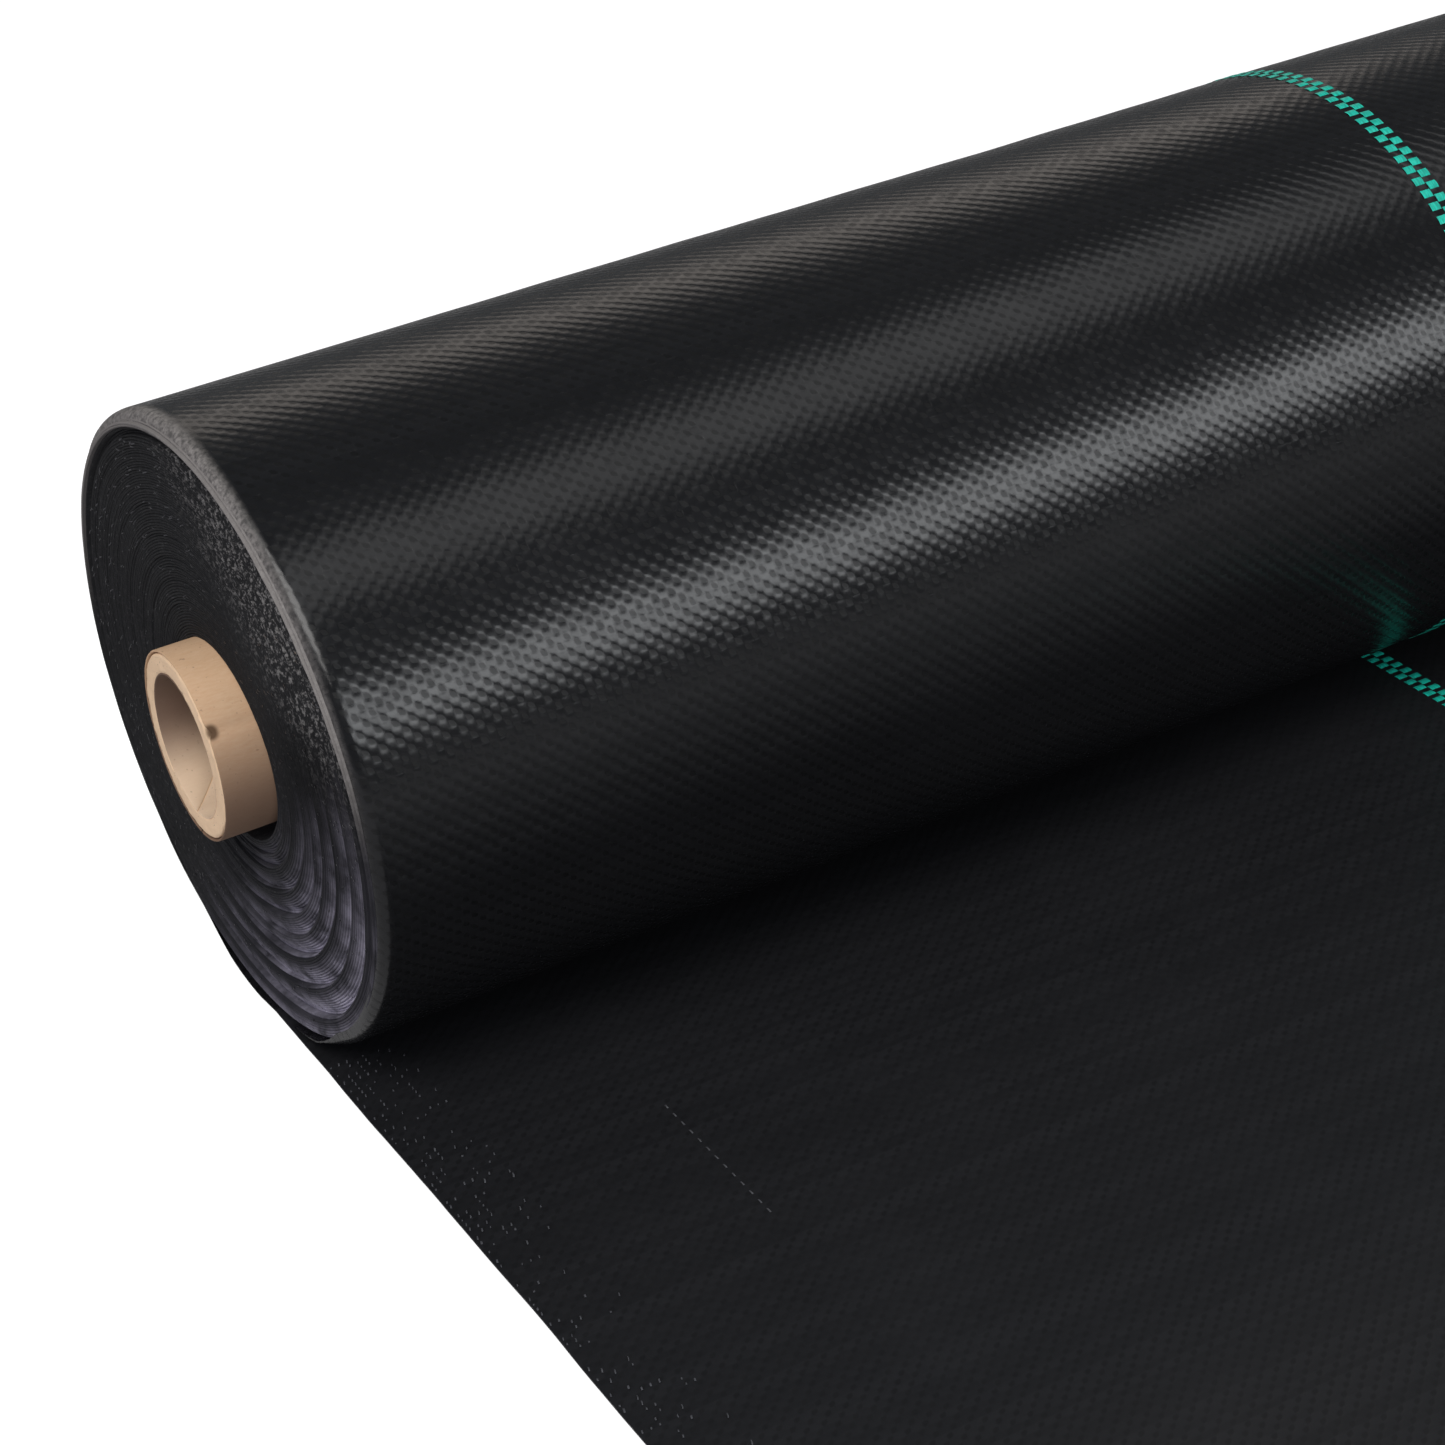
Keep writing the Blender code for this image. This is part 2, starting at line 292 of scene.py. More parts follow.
# Depth of each surface's relief, and how strongly the dark specks in paper show
LAYER_RELIEF = 0.00022
GREEN_RELIEF = 0.00005
STRAY_RELIEF = 0.0001
CUT_RELIEF = 0.0003
PAPER_RELIEF = 0.0001
CUT_SPECKLE = 0.6
PAPER_SPECKLE = 0.35

# Ageing and painted shade of the paper: how far it browns, how much of the browned side faces the
# roll's back and how much faces up, and where the browning begins and where it is full, in metres
# from the roll's axis. The outer paper is painted browner on its underside, and the bore on its
# upper back, partly as ageing and partly as painted shade
NO_AGE_OR_SHADE = (0.0, (0.0, 1.0), (-0.014, 0.014))
OUTER_AGE_AND_SHADE = (0.82, (0.0, -1.0), (-0.024, 0.008))
INNER_AGE_AND_SHADE = (0.90, (0.7, 0.7), (-0.005, 0.014))

# The stage: the floor's reach and its gap under the laid fabric, its colours, how it glows for the
# camera, from a level near the roll to white further off, and the dim cool world
FLOOR_REACH = 12.0
FLOOR_GAP = 0.0002
FLOOR_COLOURS = ((0.42, 0.42, 0.43, 1.0), (0.45, 0.45, 0.45, 1.0))
GLOW_REACH = (1.1, 3.6)
GLOW_LEVEL = (0.84, 1.0)
WHITE = (1.0, 1.0, 1.0, 1.0)
WORLD_TINT = (0.88, 0.94, 1.0, 1.0)
WORLD_LEVEL = 0.13

# The lamps: name, place, target, size, watts and colour
ROLL_MIDDLE = (0.0, AXIS_Y, AXIS_Z)
LAMPS = (
    ("key", (0.72, -1.48, 0.80), ROLL_MIDDLE, (2.3, 0.44), 16.2, (0.96, 0.98, 1.0)),
    ("back", (0.6, 2.6, 1.5), ROLL_MIDDLE, (2.2, 0.8), 5.0, (1.0, 0.90, 0.82)),
    ("overhead", (0.6, -0.55, 2.55), ROLL_MIDDLE, (2.6, 0.80), 6.8, (1.0, 1.0, 1.0)),
    ("left", (-1.4, -0.8, 1.9), (-0.4, AXIS_Y, AXIS_Z), (1.7, 1.3), 39.0, (1.0, 0.98, 0.96)),
)
END_LAMP = ("end", (-1.50, -0.10, 0.28), (-0.5, AXIS_Y, 0.05), (1.0, 0.5), 3.2, (0.88, 0.85, 1.0))

# The camera: the width of its sensor in mm, and the nearest and furthest that it sees
SENSOR_WIDTH = 36.0
CLIP_NEAR = 0.01
CLIP_FAR = 100.0


class FabricSettings(bpy.types.PropertyGroup):
    """Sizes and colours of the woven fabric."""
    roll_radius: FloatProperty(
        name="Roll radius", description="Outside of the outermost turn", default=0.084,
        unit="LENGTH")
    thickness: FloatProperty(
        name="Thickness", description="Thickness of the fabric", default=0.0005, unit="LENGTH")
    lean: FloatProperty(
        name="Lean of the ends", description="How far the roll's ends lean from square",
        default=math.radians(-2.5), subtype="ANGLE")
    warp_pitch: FloatProperty(
        name="Warp pitch", description="Distance between tapes along the roll's axis",
        default=0.0022, unit="LENGTH")
    picks_per_turn: IntProperty(
        name="Picks in a turn", description="Cross tapes in one turn of the roll", default=252)
    weave_relief: FloatProperty(
        name="Weave relief", description="Height of a tape where it crosses over another",
        default=0.000034, unit="LENGTH")
    rim_round: FloatProperty(
        name="Rim rounding", description="Radius at which the web turns in at the roll's ends",
        default=0.0034, unit="LENGTH")
    colour: FloatVectorProperty(
        name="Fabric colour", description="Colour of the black tapes", subtype="COLOR",
        default=(0.0062, 0.0064, 0.0073))
    # The dust on the rims, painted pale on the upper part only: dust, and painted light on the rim
    dust_and_light_colour: FloatVectorProperty(
        name="Dust colour", description="Colour of the worn rim of the roll", subtype="COLOR",
        default=(0.230, 0.216, 0.205))
    marker_colour: FloatVectorProperty(
        name="Marker colour", description="Colour of the green marker tapes", subtype="COLOR",
        default=(0.016, 0.620, 0.470))
    layers: IntProperty(
        name="Layers", description="Turns of fabric drawn in the roll's ends", default=80)


class CoreSettings(bpy.types.PropertyGroup):
    """Sizes and colours of the paper core."""
    ply_thickness: FloatProperty(
        name="Ply thickness", description="Thickness of the inner and outer paper plies",
        default=0.0006, unit="LENGTH")
    ply_pitch: FloatProperty(
        name="Ply pitch", description="Length of core that one turn of a paper strip covers",
        default=0.100, unit="LENGTH")
    seam: FloatProperty(
        name="Seam", description="Gap between the edges of neighbouring turns of a paper strip",
        default=0.0003, unit="LENGTH")
    outer_colour: FloatVectorProperty(
        name="Outside colour", description="Colour of the outer paper", subtype="COLOR",
        default=(0.620, 0.400, 0.240))
    inner_colour: FloatVectorProperty(
        name="Bore colour", description="Colour of the inner paper", subtype="COLOR",
        default=(0.740, 0.550, 0.385))
    cut_colour: FloatVectorProperty(
        name="Cut edge colour", description="Colour of the sawn edge", subtype="COLOR",
        default=(0.860, 0.620, 0.400))


class StageSettings(bpy.types.PropertyGroup):
    """Camera and its aim."""
    lens: FloatProperty(
        name="Focal length", description="Focal length in millimetres", default=86.87)
    camera_place: FloatVectorProperty(
        name="Camera", description="Where the camera stands", subtype="TRANSLATION",
        unit="LENGTH", default=(-0.7234, -0.5270, 0.4993))
    azimuth: FloatProperty(
        name="Direction", description="Where the camera looks, from +Y towards +X",
        default=math.radians(26.17), subtype="ANGLE")
    descent: FloatProperty(
        name="Descent", description="How far the camera looks down",
        default=math.radians(29.46), subtype="ANGLE")
    roll: FloatProperty(
        name="Roll", description="How far the camera is turned about its own line of sight",
        default=math.radians(-6.29), subtype="ANGLE")


# Meshes

def new_piece(mesh, material, body, slot, *nodes):
    """An object for one dressed piece: it rides on a body and stands for the nodes named."""
    mesh.materials.append(material)
    piece = bpy.data.objects.new(mesh.name, mesh)
    bpy.context.scene.collection.objects.link(piece)
    if nodes:
        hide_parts(*nodes)
    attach(piece, body)
    return piece


def mesh_from(name, points, faces, smooth_angle=SMOOTH_ANGLE):
    """A smooth mesh whose edges are sharp where its faces meet at more than an angle."""
    mesh = bpy.data.meshes.new(name)
    mesh.from_pydata(points.reshape(-1, 3).tolist(), [], faces)
    mesh.validate()
    mesh.update()
    mesh.shade_smooth()
    mesh.set_sharp_from_angle(angle=smooth_angle)
    return mesh


def grid_faces(rows, columns, first=0, flip=False):
    """Quads over a grid of points that is stored row by row."""
    faces = []
    for i in range(rows - 1):
        for j in range(columns - 1):
            a = first + i * columns + j
            quad = (a, a + 1, a + columns + 1, a + columns)
            faces.append(quad[::-1] if flip else quad)
    return faces


def slab(name, top, bottom):
    """A closed thin sheet between two grids of points, with quads round its four edges."""
    rows, columns = top.shape[:2]
    count = rows * columns
    faces = grid_faces(rows, columns) + grid_faces(rows, columns, count, True)
    ring = list(range(columns))
    ring += [i * columns + columns - 1 for i in range(1, rows)]
    ring += [(rows - 1) * columns + j for j in range(columns - 2, -1, -1)]
    ring += [i * columns for i in range(rows - 2, 0, -1)]
    for k, a in enumerate(ring):
        b = ring[(k + 1) % len(ring)]
        faces.append((b, a, a + count, b + count))
    return mesh_from(name, np.concatenate([top.reshape(-1, 3), bottom.reshape(-1, 3)]), faces)


def loft(name, sections, smooth_angle):
    """A closed solid through like sections, each a ring of points, capped at its two ends."""
    rows, corners = sections.shape[:2]
    faces = []
    for i in range(rows - 1):
        for j in range(corners):
            a, b = i * corners + j, i * corners + (j + 1) % corners
            faces.append((a, b, b + corners, a + corners))
    faces.append(tuple(range(corners))[::-1])
    faces.append(tuple((rows - 1) * corners + j for j in range(corners)))
    return mesh_from(name, sections, faces, smooth_angle)


def closed_tube(name, sections, smooth_angle):
    """A ring of like sections that meets itself, such as a thick tube of its lengthwise cuts."""
    rows, corners = sections.shape[:2]
    faces = []
    for i in range(rows):
        following = (i + 1) % rows
        for j in range(corners):
            beside = (j + 1) % corners
            faces.append((i * corners + j, following * corners + j, following * corners + beside,
                          i * corners + beside))
    return mesh_from(name, sections, faces, smooth_angle)


def round_axis(x, radius, angle):
    """Points round the roll's axis; angles start straight down and grow up the roll's back."""
    x, radius, angle = np.broadcast_arrays(x, radius, angle)
    return np.stack([x, AXIS_Y + radius * np.sin(angle), AXIS_Z - radius * np.cos(angle)], -1)


def noise_at(x, y, z):
    """Smooth noise from -1 to 1 at each place of a row of places."""
    return np.array([noise.noise(Vector(place)) for place in zip(*np.broadcast_arrays(x, y, z))])


def field(points, scale, seed):
    """Smooth noise from -1 to 1 at each point, with features of about the given size."""
    x, y, z = (np.asarray(points, float).reshape(-1, 3) / scale).T
    return noise_at(x + seed, y - seed, z + 2 * seed).reshape(np.asarray(points).shape[:-1])


def uneven(points, unevenness):
    """Smooth noise at each point, from an unevenness: its height, its features' size and a seed."""
    height, size, seed = unevenness
    return height * field(points, size, seed)


def bump_at(value, middle, width):
    """A smooth hill of height 1."""
    return np.exp(-((value - middle) / width) ** 2)


def wrapped(angle):
    """The same angle between minus and plus half a turn."""
    return (np.asarray(angle) + math.pi) % FULL_TURN - math.pi


# Nodes

def new_group(name, inputs, outputs):
    """A shader node group with named sockets, and its input and output nodes."""
    group = bpy.data.node_groups.new(name, "ShaderNodeTree")
    for label, kind, value in inputs:
        socket = group.interface.new_socket(label, in_out="INPUT", socket_type=kind)
        if value is not None:
            socket.default_value = value
    for label, kind in outputs:
        group.interface.new_socket(label, in_out="OUTPUT", socket_type=kind)
    return group, group.nodes.new("NodeGroupInput"), group.nodes.new("NodeGroupOutput")


def connect(tree, value, socket):
    """Links a socket, or sets a plain value."""
    if isinstance(value, bpy.types.NodeSocket):
        tree.links.new(value, socket)
    else:
        socket.default_value = value


def maths(tree, operation, *values):
    """What a maths node gives for values that are linked or set."""
    node = tree.nodes.new("ShaderNodeMath")
    node.operation = operation
    for k, value in enumerate(values):
        connect(tree, value, node.inputs[k])
    return node.outputs[0]


def plus(tree, first, second):
    """The sum of two values."""
    return maths(tree, "ADD", first, second)


def minus(tree, first, second):
    """The first value less the second."""
    return maths(tree, "SUBTRACT", first, second)


def times(tree, first, second):
    """The product of two values."""
    return maths(tree, "MULTIPLY", first, second)


def remap(tree, value, low, high, to_low=0.0, to_high=1.0, smooth=False):
    """The value, carried from one range to another and held within it."""
    node = tree.nodes.new("ShaderNodeMapRange")
    node.interpolation_type = "SMOOTHSTEP" if smooth else "LINEAR"
    for label, setting in (("Value", value), ("From Min", low), ("From Max", high),
                           ("To Min", to_low), ("To Max", to_high)):
        connect(tree, setting, node.inputs[label])
    return node.outputs["Result"]


def mix_colour(tree, factor, first, second):
    """The first colour where the factor is 0, and the second one where it is 1."""
    node = tree.nodes.new("ShaderNodeMix")
    node.data_type = "RGBA"
    connect(tree, factor, node.inputs[0])
    connect(tree, first, node.inputs[6])
    connect(tree, second, node.inputs[7])
    return node.outputs[2]


def tint(colour, share=1.0, extra=0.0):
    """A colour for a socket: a share of the given one, with a little grey on top."""
    return tuple(share * c + extra for c in colour[:3]) + (1.0,)


def combine(tree, x, y, z=0.0):
    """A vector from its three parts."""
    node = tree.nodes.new("ShaderNodeCombineXYZ")
    for k, value in enumerate((x, y, z)):
        connect(tree, value, node.inputs[k])
    return node.outputs[0]


def parts(tree, vector):
    """The three parts of a vector."""
    node = tree.nodes.new("ShaderNodeSeparateXYZ")
    connect(tree, vector, node.inputs[0])
    return tuple(node.outputs)


def from_axis(tree, place):
    """How far a place is behind the roll's axis, and how far above it."""
    back, up = parts(tree, place)[1:]
    return minus(tree, back, AXIS_Y), minus(tree, up, AXIS_Z)


def vector_maths(tree, operation, first, second):
    """A vector node, with its first input linked and its second one set."""
    node = tree.nodes.new("ShaderNodeVectorMath")
    node.operation = operation
    tree.links.new(first, node.inputs[0])
    node.inputs[1].default_value = second
    return node


def cloud(tree, vector, scale, detail=2.0, roughness=0.5):
    """Noise from 0 to 1; scale is in features to the metre."""
    node = tree.nodes.new("ShaderNodeTexNoise")
    connect(tree, vector, node.inputs["Vector"])
    node.inputs["Scale"].default_value = scale
    node.inputs["Detail"].default_value = detail
    node.inputs["Roughness"].default_value = roughness
    return node.outputs["Fac"]


def white(tree, vector):
    """A random value from 0 to 1, without any smooth change from place to place."""
    node = tree.nodes.new("ShaderNodeTexWhiteNoise")
    node.noise_dimensions = "2D"
    connect(tree, vector, node.inputs["Vector"])
    return node.outputs["Value"]


# Shader node groups

def roll_distance_group():
    """Distances along the roll and round it, from object coordinates."""
    group, source, result = new_group(
        "Distances on the roll",
        [("Position", "NodeSocketVector", None), ("Radius", "NodeSocketFloat", 0.084)],
        [("Across", "NodeSocketFloat"), ("Round", "NodeSocketFloat")])
    across = parts(group, source.outputs["Position"])[0]
    back, up = from_axis(group, source.outputs["Position"])
    angle = maths(group, "ARCTAN2", back, times(group, up, -1.0))
    group.links.new(across, result.inputs["Across"])
    group.links.new(times(group, angle, source.outputs["Radius"]), result.inputs["Round"])
    return group


def plain_weave_group():
    """Flat tapes in plain weave: the cross tapes lie high, and the lengthwise ones sink between.

    The tapes' pillows join into slanting ridges, which are steeper on one side.
    """
    group, source, result = new_group(
        "Plain weave of flat tapes",
        [("Across", "NodeSocketFloat", 0.0), ("Along", "NodeSocketFloat", 0.0),
         ("Warp pitch", "NodeSocketFloat", 0.0022), ("Pick", "NodeSocketFloat", 0.0021),
         ("Slant", "NodeSocketFloat", 0.67), ("Unevenness", "NodeSocketFloat", 0.45)],
        [("Height", "NodeSocketFloat"), ("Dot", "NodeSocketFloat"),
         ("By crossing", "NodeSocketFloat"), ("By tape", "NodeSocketFloat")])
    u = maths(group, "DIVIDE", source.outputs["Across"], source.outputs["Warp pitch"])
    v = maths(group, "DIVIDE", source.outputs["Along"], source.outputs["Pick"])
    column, row = maths(group, "FLOOR", u), maths(group, "FLOOR", v)
    waves = []
    for operation, steepness in (("SUBTRACT", 0.22), ("ADD", 0.0)):
        diagonal = times(group, maths(group, operation, u, v), math.pi)
        pushed = times(group, maths(group, "COSINE", diagonal), steepness)
        waves.append(maths(group, "COSINE", plus(group, diagonal, pushed)))
    slant = source.outputs["Slant"]
    crate = minus(group, times(group, waves[0], slant),
                  times(group, waves[1], minus(group, 1.0, slant)))
    square = times(group, crate, crate)
    flattened = times(group, crate, minus(group, 1.5, times(group, square, 0.5)))
    by_crossing = white(group, combine(group, column, row))
    by_tape = white(group, combine(group, 0.37, row))
    across_and_along = plus(group, maths(group, "FRACT", u), maths(group, "FRACT", v))
    skew = times(group, minus(group, by_crossing, 0.5), minus(group, across_and_along, 1.0))
    swelled = times(group, flattened, remap(group, by_crossing, 0.0, 1.0, 0.75, 1.25))
    height = plus(group, swelled, times(group, skew, source.outputs["Unevenness"]))
    dot = remap(group, flattened, -0.35, -0.90, smooth=True)
    for label, value in (("Height", height), ("Dot", dot), ("By crossing", by_crossing),
                         ("By tape", by_tape)):
        group.links.new(value, result.inputs[label])
    return group


def paper_group():
    """Mottle and fibres of grey-brown paper."""
    group, source, result = new_group(
        "Paper fibres",
        [("Position", "NodeSocketVector", None),
         ("Colour", "NodeSocketColor", (0.5, 0.4, 0.3, 1.0)),
         ("Speckle", "NodeSocketFloat", 0.5)],
        [("Colour", "NodeSocketColor"), ("Height", "NodeSocketFloat")])
    place = source.outputs["Position"]
    blotch = cloud(group, place, 60.0, 3.0, 0.6)
    drawn_out = vector_maths(group, "MULTIPLY", place, (0.25, 1.0, 1.0)).outputs[0]
    fibre = cloud(group, drawn_out, 1600.0, 3.0, 0.65)
    speck = remap(group, cloud(group, place, 900.0, 1.0), 0.70, 0.78)
    dark = mix_colour(group, remap(group, blotch, 0.35, 0.70, 0.0, 0.16), source.outputs["Colour"],
                      PAPER_BLOTCH)
    fibred = mix_colour(group, remap(group, fibre, 0.35, 0.75, 0.0, 0.20), dark, PAPER_FIBRE)
    specked = mix_colour(group, times(group, speck, source.outputs["Speckle"]), fibred, PAPER_SPECK)
    group.links.new(specked, result.inputs["Colour"])
    group.links.new(plus(group, fibre, times(group, blotch, 0.5)), result.inputs["Height"])
    return group


# Materials

def new_material(name, specular):
    """A material with its node tree, its Principled shader and object coordinates."""
    material = bpy.data.materials.new(name)
    material.use_nodes = True
    tree = material.node_tree
    shader = tree.nodes["Principled BSDF"]
    shader.inputs["Specular IOR Level"].default_value = specular
    place = tree.nodes.new("ShaderNodeTexCoord").outputs["Object"]
    return material, tree, shader, place


def use_group(tree, group, **settings):
    """A node for a shared group, with its inputs linked or set by name."""
    node = tree.nodes.new("ShaderNodeGroup")
    node.node_tree = group
    for label, value in settings.items():
        connect(tree, value, node.inputs[label.replace("_", " ")])
    return node


def finish_surface(tree, shader, colour, roughness, height, relief):
    """Links a surface's colour, roughness and height; the relief is the height's full depth."""
    tree.links.new(colour, shader.inputs["Base Color"])
    tree.links.new(roughness, shader.inputs["Roughness"])
    node = tree.nodes.new("ShaderNodeBump")
    node.inputs["Distance"].default_value = relief
    node.inputs["Strength"].default_value = 1.0
    tree.links.new(height, node.inputs["Height"])
    tree.links.new(node.outputs[0], shader.inputs["Normal"])


def pick_length(fabric):
    """Distance between neighbouring cross tapes."""
    return FULL_TURN * fabric.roll_radius / fabric.picks_per_turn


def shade_weave(tree, shader, weave, colour, place, relief, dot_shade, dull, worn=None):
    """Colour, roughness and relief of a woven surface, from a plain weave node.

    sunk is how much darker the sunken dots are painted, standing in for the shade in them, and dull
    the roughness of the smoothest tape.
    worn is two masks and a colour: where dust lies on the tapes, painted pale on the upper part only,
    as lit, where they are rubbed flat, and the colour of the dust and of that painted light.
    """
    height, dot = weave.outputs["Height"], weave.outputs["Dot"]
    by_tape = mix_colour(tree, remap(tree, weave.outputs["By tape"], 0.3, 1.0, 0.0, 0.25),
                         tint(colour), tint(colour, 1.9, 0.002))
    # Painted shade: the sunken dots are painted darker, standing in for the shade in them
    dots = mix_colour(tree, dot, by_tape, tint(colour, 1.0 - dot_shade))
    dust = remap(tree, cloud(tree, place, 11.0, 4.0, 0.6), 0.50, 0.80, 0.0, 0.35)
    surface = mix_colour(tree, dust, dots, tint(colour, 1.6, 0.003))
    roughness = plus(tree, remap(tree, weave.outputs["By crossing"], 0.0, 1.0, dull, dull + 0.08),
                     times(tree, dot, 0.26 * dot_shade))
    if worn:
        mask, flat, dust_and_light_colour = worn
        speckle = remap(tree, cloud(tree, place, 800.0, 2.0, 0.7), 0.35, 0.65, 0.35, 1.0)
        surface = mix_colour(tree, times(tree, mask, speckle), surface, tint(dust_and_light_colour))
        crumbs = times(tree, cloud(tree, place, 1100.0, 2.0, 0.7), 2.0)
        height = plus(tree, times(tree, height, minus(tree, 1.0, flat)), times(tree, crumbs, mask))
        roughness = plus(tree, roughness, times(tree, mask, 0.30))
    finish_surface(tree, shader, surface, roughness, height, relief)


def near_edge(tree, across, depth):
    """A mask that is 1 at the edges of the web and 0 further in than the depth."""
    inward = minus(tree, HALF_WIDTH, maths(tree, "ABSOLUTE", across))
    return remap(tree, inward, depth, 0.35 * depth, smooth=True)


def lit_upper_part(tree, place):
    """A mask that is 1 on the upper part of the roll's ends, where dust is painted pale as lit."""
    height = parts(tree, place)[2]
    low, high = LIT_UP
    return remap(tree, height, AXIS_Z + low, AXIS_Z + high, 0.0, 1.0, smooth=True)


def roll_fabric_material(fabric, groups):
    """The fabric of the outer turn: taut and glossy, and rubbed flat at its rims, where dust is
    painted pale on the upper part only, as lit.
    """
    material, tree, shader, place = new_material("woven_tapes_on_roll", 0.42)
    distances = use_group(tree, groups["roll"], Position=place, Radius=fabric.roll_radius)
    across = distances.outputs["Across"]
    weave = use_group(tree, groups["weave"], Across=across, Along=distances.outputs["Round"],
                      Warp_pitch=fabric.warp_pitch, Pick=pick_length(fabric))
    # Dust on the rims, painted pale on the upper part only, as lit, and left out lower down, as in
    # shade
    dust_and_light = times(tree, near_edge(tree, across, 1.5 * fabric.rim_round), lit_upper_part(tree, place))
    flat = near_edge(tree, across, 2.6 * fabric.rim_round)
    shade_weave(tree, shader, weave, fabric.colour, place, fabric.weave_relief, dot_shade=0.5, dull=0.17,
                worn=(dust_and_light, flat, fabric.dust_and_light_colour))
    return material


def laid_fabric_material(fabric, groups):
    """The fabric on the ground: slack, and so duller and flatter than on the roll, and painted
    lighter than it, standing in for the light on the laid length.
    """
    material, tree, shader, place = new_material("woven_tapes_laid", 0.42)
    across, along = parts(tree, place)[:2]
    weave = use_group(tree, groups["weave"], Across=across, Along=along,
                      Warp_pitch=fabric.warp_pitch, Pick=pick_length(fabric))
    # Painted light: the laid fabric is painted 1.7 times lighter than on the roll, for the light on
    # it
    shade_weave(tree, shader, weave, tint(fabric.colour, 1.7), place, 0.5 * fabric.weave_relief,
                dot_shade=0.25, dull=0.34)
    return material


def layer_edge_material(fabric):
    """The edges of the wound layers: dust at the rim, painted pale on the upper part only, as lit,
    and painted light and shade on the folds of the loose layers low down.
    """
    material, tree, shader, place = new_material("edges_of_wound_layers", 0.24)
    back, up = from_axis(tree, place)
    distance = maths(tree, "SQRT", plus(tree, times(tree, back, back), times(tree, up, up)))
    angle = maths(tree, "ARCTAN2", back, up)
    ring = combine(tree, times(tree, distance, 6.0), times(tree, angle, 0.05))
    lines = cloud(tree, ring, 330.0, 2.0, 0.5)
    fuzz = cloud(tree, place, 800.0, 3.0, 0.7)
    mottle = cloud(tree, place, 60.0, 3.0, 0.6)
    low = plus(tree, times(tree, back, math.sin(LOOSE_ANGLE)),
               times(tree, up, -math.cos(LOOSE_ANGLE)))
    looseness = remap(tree, low, *LOOSE_REACH, smooth=True)

    base = tint(fabric.colour, 1.0, 0.001)
    rings = mix_colour(tree, remap(tree, lines, 0.35, 0.70, 0.0, 0.7), base, tint(base, 2.0))
    fuzzy = mix_colour(tree, remap(tree, fuzz, 0.55, 0.72, 0.0, 0.9), rings, EDGE_FUZZ)
    patchy = mix_colour(tree, remap(tree, mottle, 0.40, 0.62, 0.0, 0.6), fuzzy, base)
    front = times(tree, minus(tree, up, back), math.sqrt(0.5))
    # Pale specks painted as glints up at the front, which are also made shinier
    specks = times(tree, remap(tree, front, *GLINT_REACH, smooth=True),
                   remap(tree, cloud(tree, place, 620.0, 2.0, 0.8), 0.50, 0.66))
    specked = mix_colour(tree, specks, patchy, EDGE_GLINT)
    # Painted shade: the layers' edges at the front, below the specks, are painted near black
    painted_shade = times(tree, remap(tree, back, *PAINTED_SHADE_FORWARD, 0.0, 0.75, smooth=True),
                  remap(tree, up, *PAINTED_SHADE_UP, smooth=True))
    firm_colour = mix_colour(tree, painted_shade, specked, EDGE_PAINTED_SHADE)

    # Painted light and shade on the loose folds: pale where each turns to the light, dark elsewhere
    fold = tree.nodes.new("ShaderNodeAttribute")
    fold.attribute_name = FOLD_SHADE
    blotch = remap(tree, cloud(tree, place, 95.0, 4.0, 0.65), 0.36, 0.64, 0.25, 1.75)
    lit = times(tree, fold.outputs["Fac"], blotch)
    fold_light_and_shade = mix_colour(tree, lit, FOLD_DARK, FOLD_LIT)
    loose = mix_colour(tree, times(tree, looseness, 0.85), firm_colour, fold_light_and_shade)
    # Dust on the rim, painted pale on the upper part only, as lit, and left out lower down, as in
    # shade
    rim_radius = fabric.roll_radius - fabric.rim_round
    rim = remap(tree, distance, rim_radius - DUST_IN[0], rim_radius - DUST_IN[1], 0.0, 0.8,
                smooth=True)
    rimmed = mix_colour(tree, times(tree, rim, lit_upper_part(tree, place)), loose,
                        tint(fabric.dust_and_light_colour))

    firm = minus(tree, remap(tree, painted_shade, 0.0, 0.75, 0.74, 1.0), times(tree, specks, 0.30))
    turned = remap(tree, lit, 0.0, 0.8, 0.80, 0.30)
    dull = plus(tree, times(tree, turned, looseness),
                times(tree, firm, minus(tree, 1.0, looseness)))
    roughness = minus(tree, dull, times(tree, fuzz, 0.10))
    grain = plus(tree, times(tree, lines, 0.6), fuzz)
    still = remap(tree, looseness, 0.0, 1.0, 1.0, 0.35)
    finish_surface(tree, shader, rimmed, roughness, times(tree, grain, still), LAYER_RELIEF)
    return material


def green_material(fabric):
    """The marker tapes: bright, with lengthwise streaks."""
    material, tree, shader, place = new_material("green_marker_tape", 0.5)
    across, back, up = parts(tree, place)
    drawn_out = combine(tree, across, times(tree, back, 0.1), times(tree, up, 0.1))
    streak = cloud(tree, drawn_out, 3500.0, 2.0)
    colour = mix_colour(tree, remap(tree, streak, 0.35, 0.65), tint(fabric.marker_colour, 0.55),
                        tint(fabric.marker_colour))
    roughness = remap(tree, streak, 0.3, 0.7, 0.42, 0.28)
    finish_surface(tree, shader, colour, roughness, streak, GREEN_RELIEF)
    return material


def stray_tape_material(name, colour):
    """Bare tape ends and thin yarns, which glint."""
    material, tree, shader, place = new_material(name, 0.6)
    shade = cloud(tree, place, 700.0, 2.0)
    mixed = mix_colour(tree, shade, tint(colour), tint(colour, 2.5))
    roughness = remap(tree, shade, 0.3, 0.7, 0.20, 0.42)
    finish_surface(tree, shader, mixed, roughness, shade, STRAY_RELIEF)
    return material


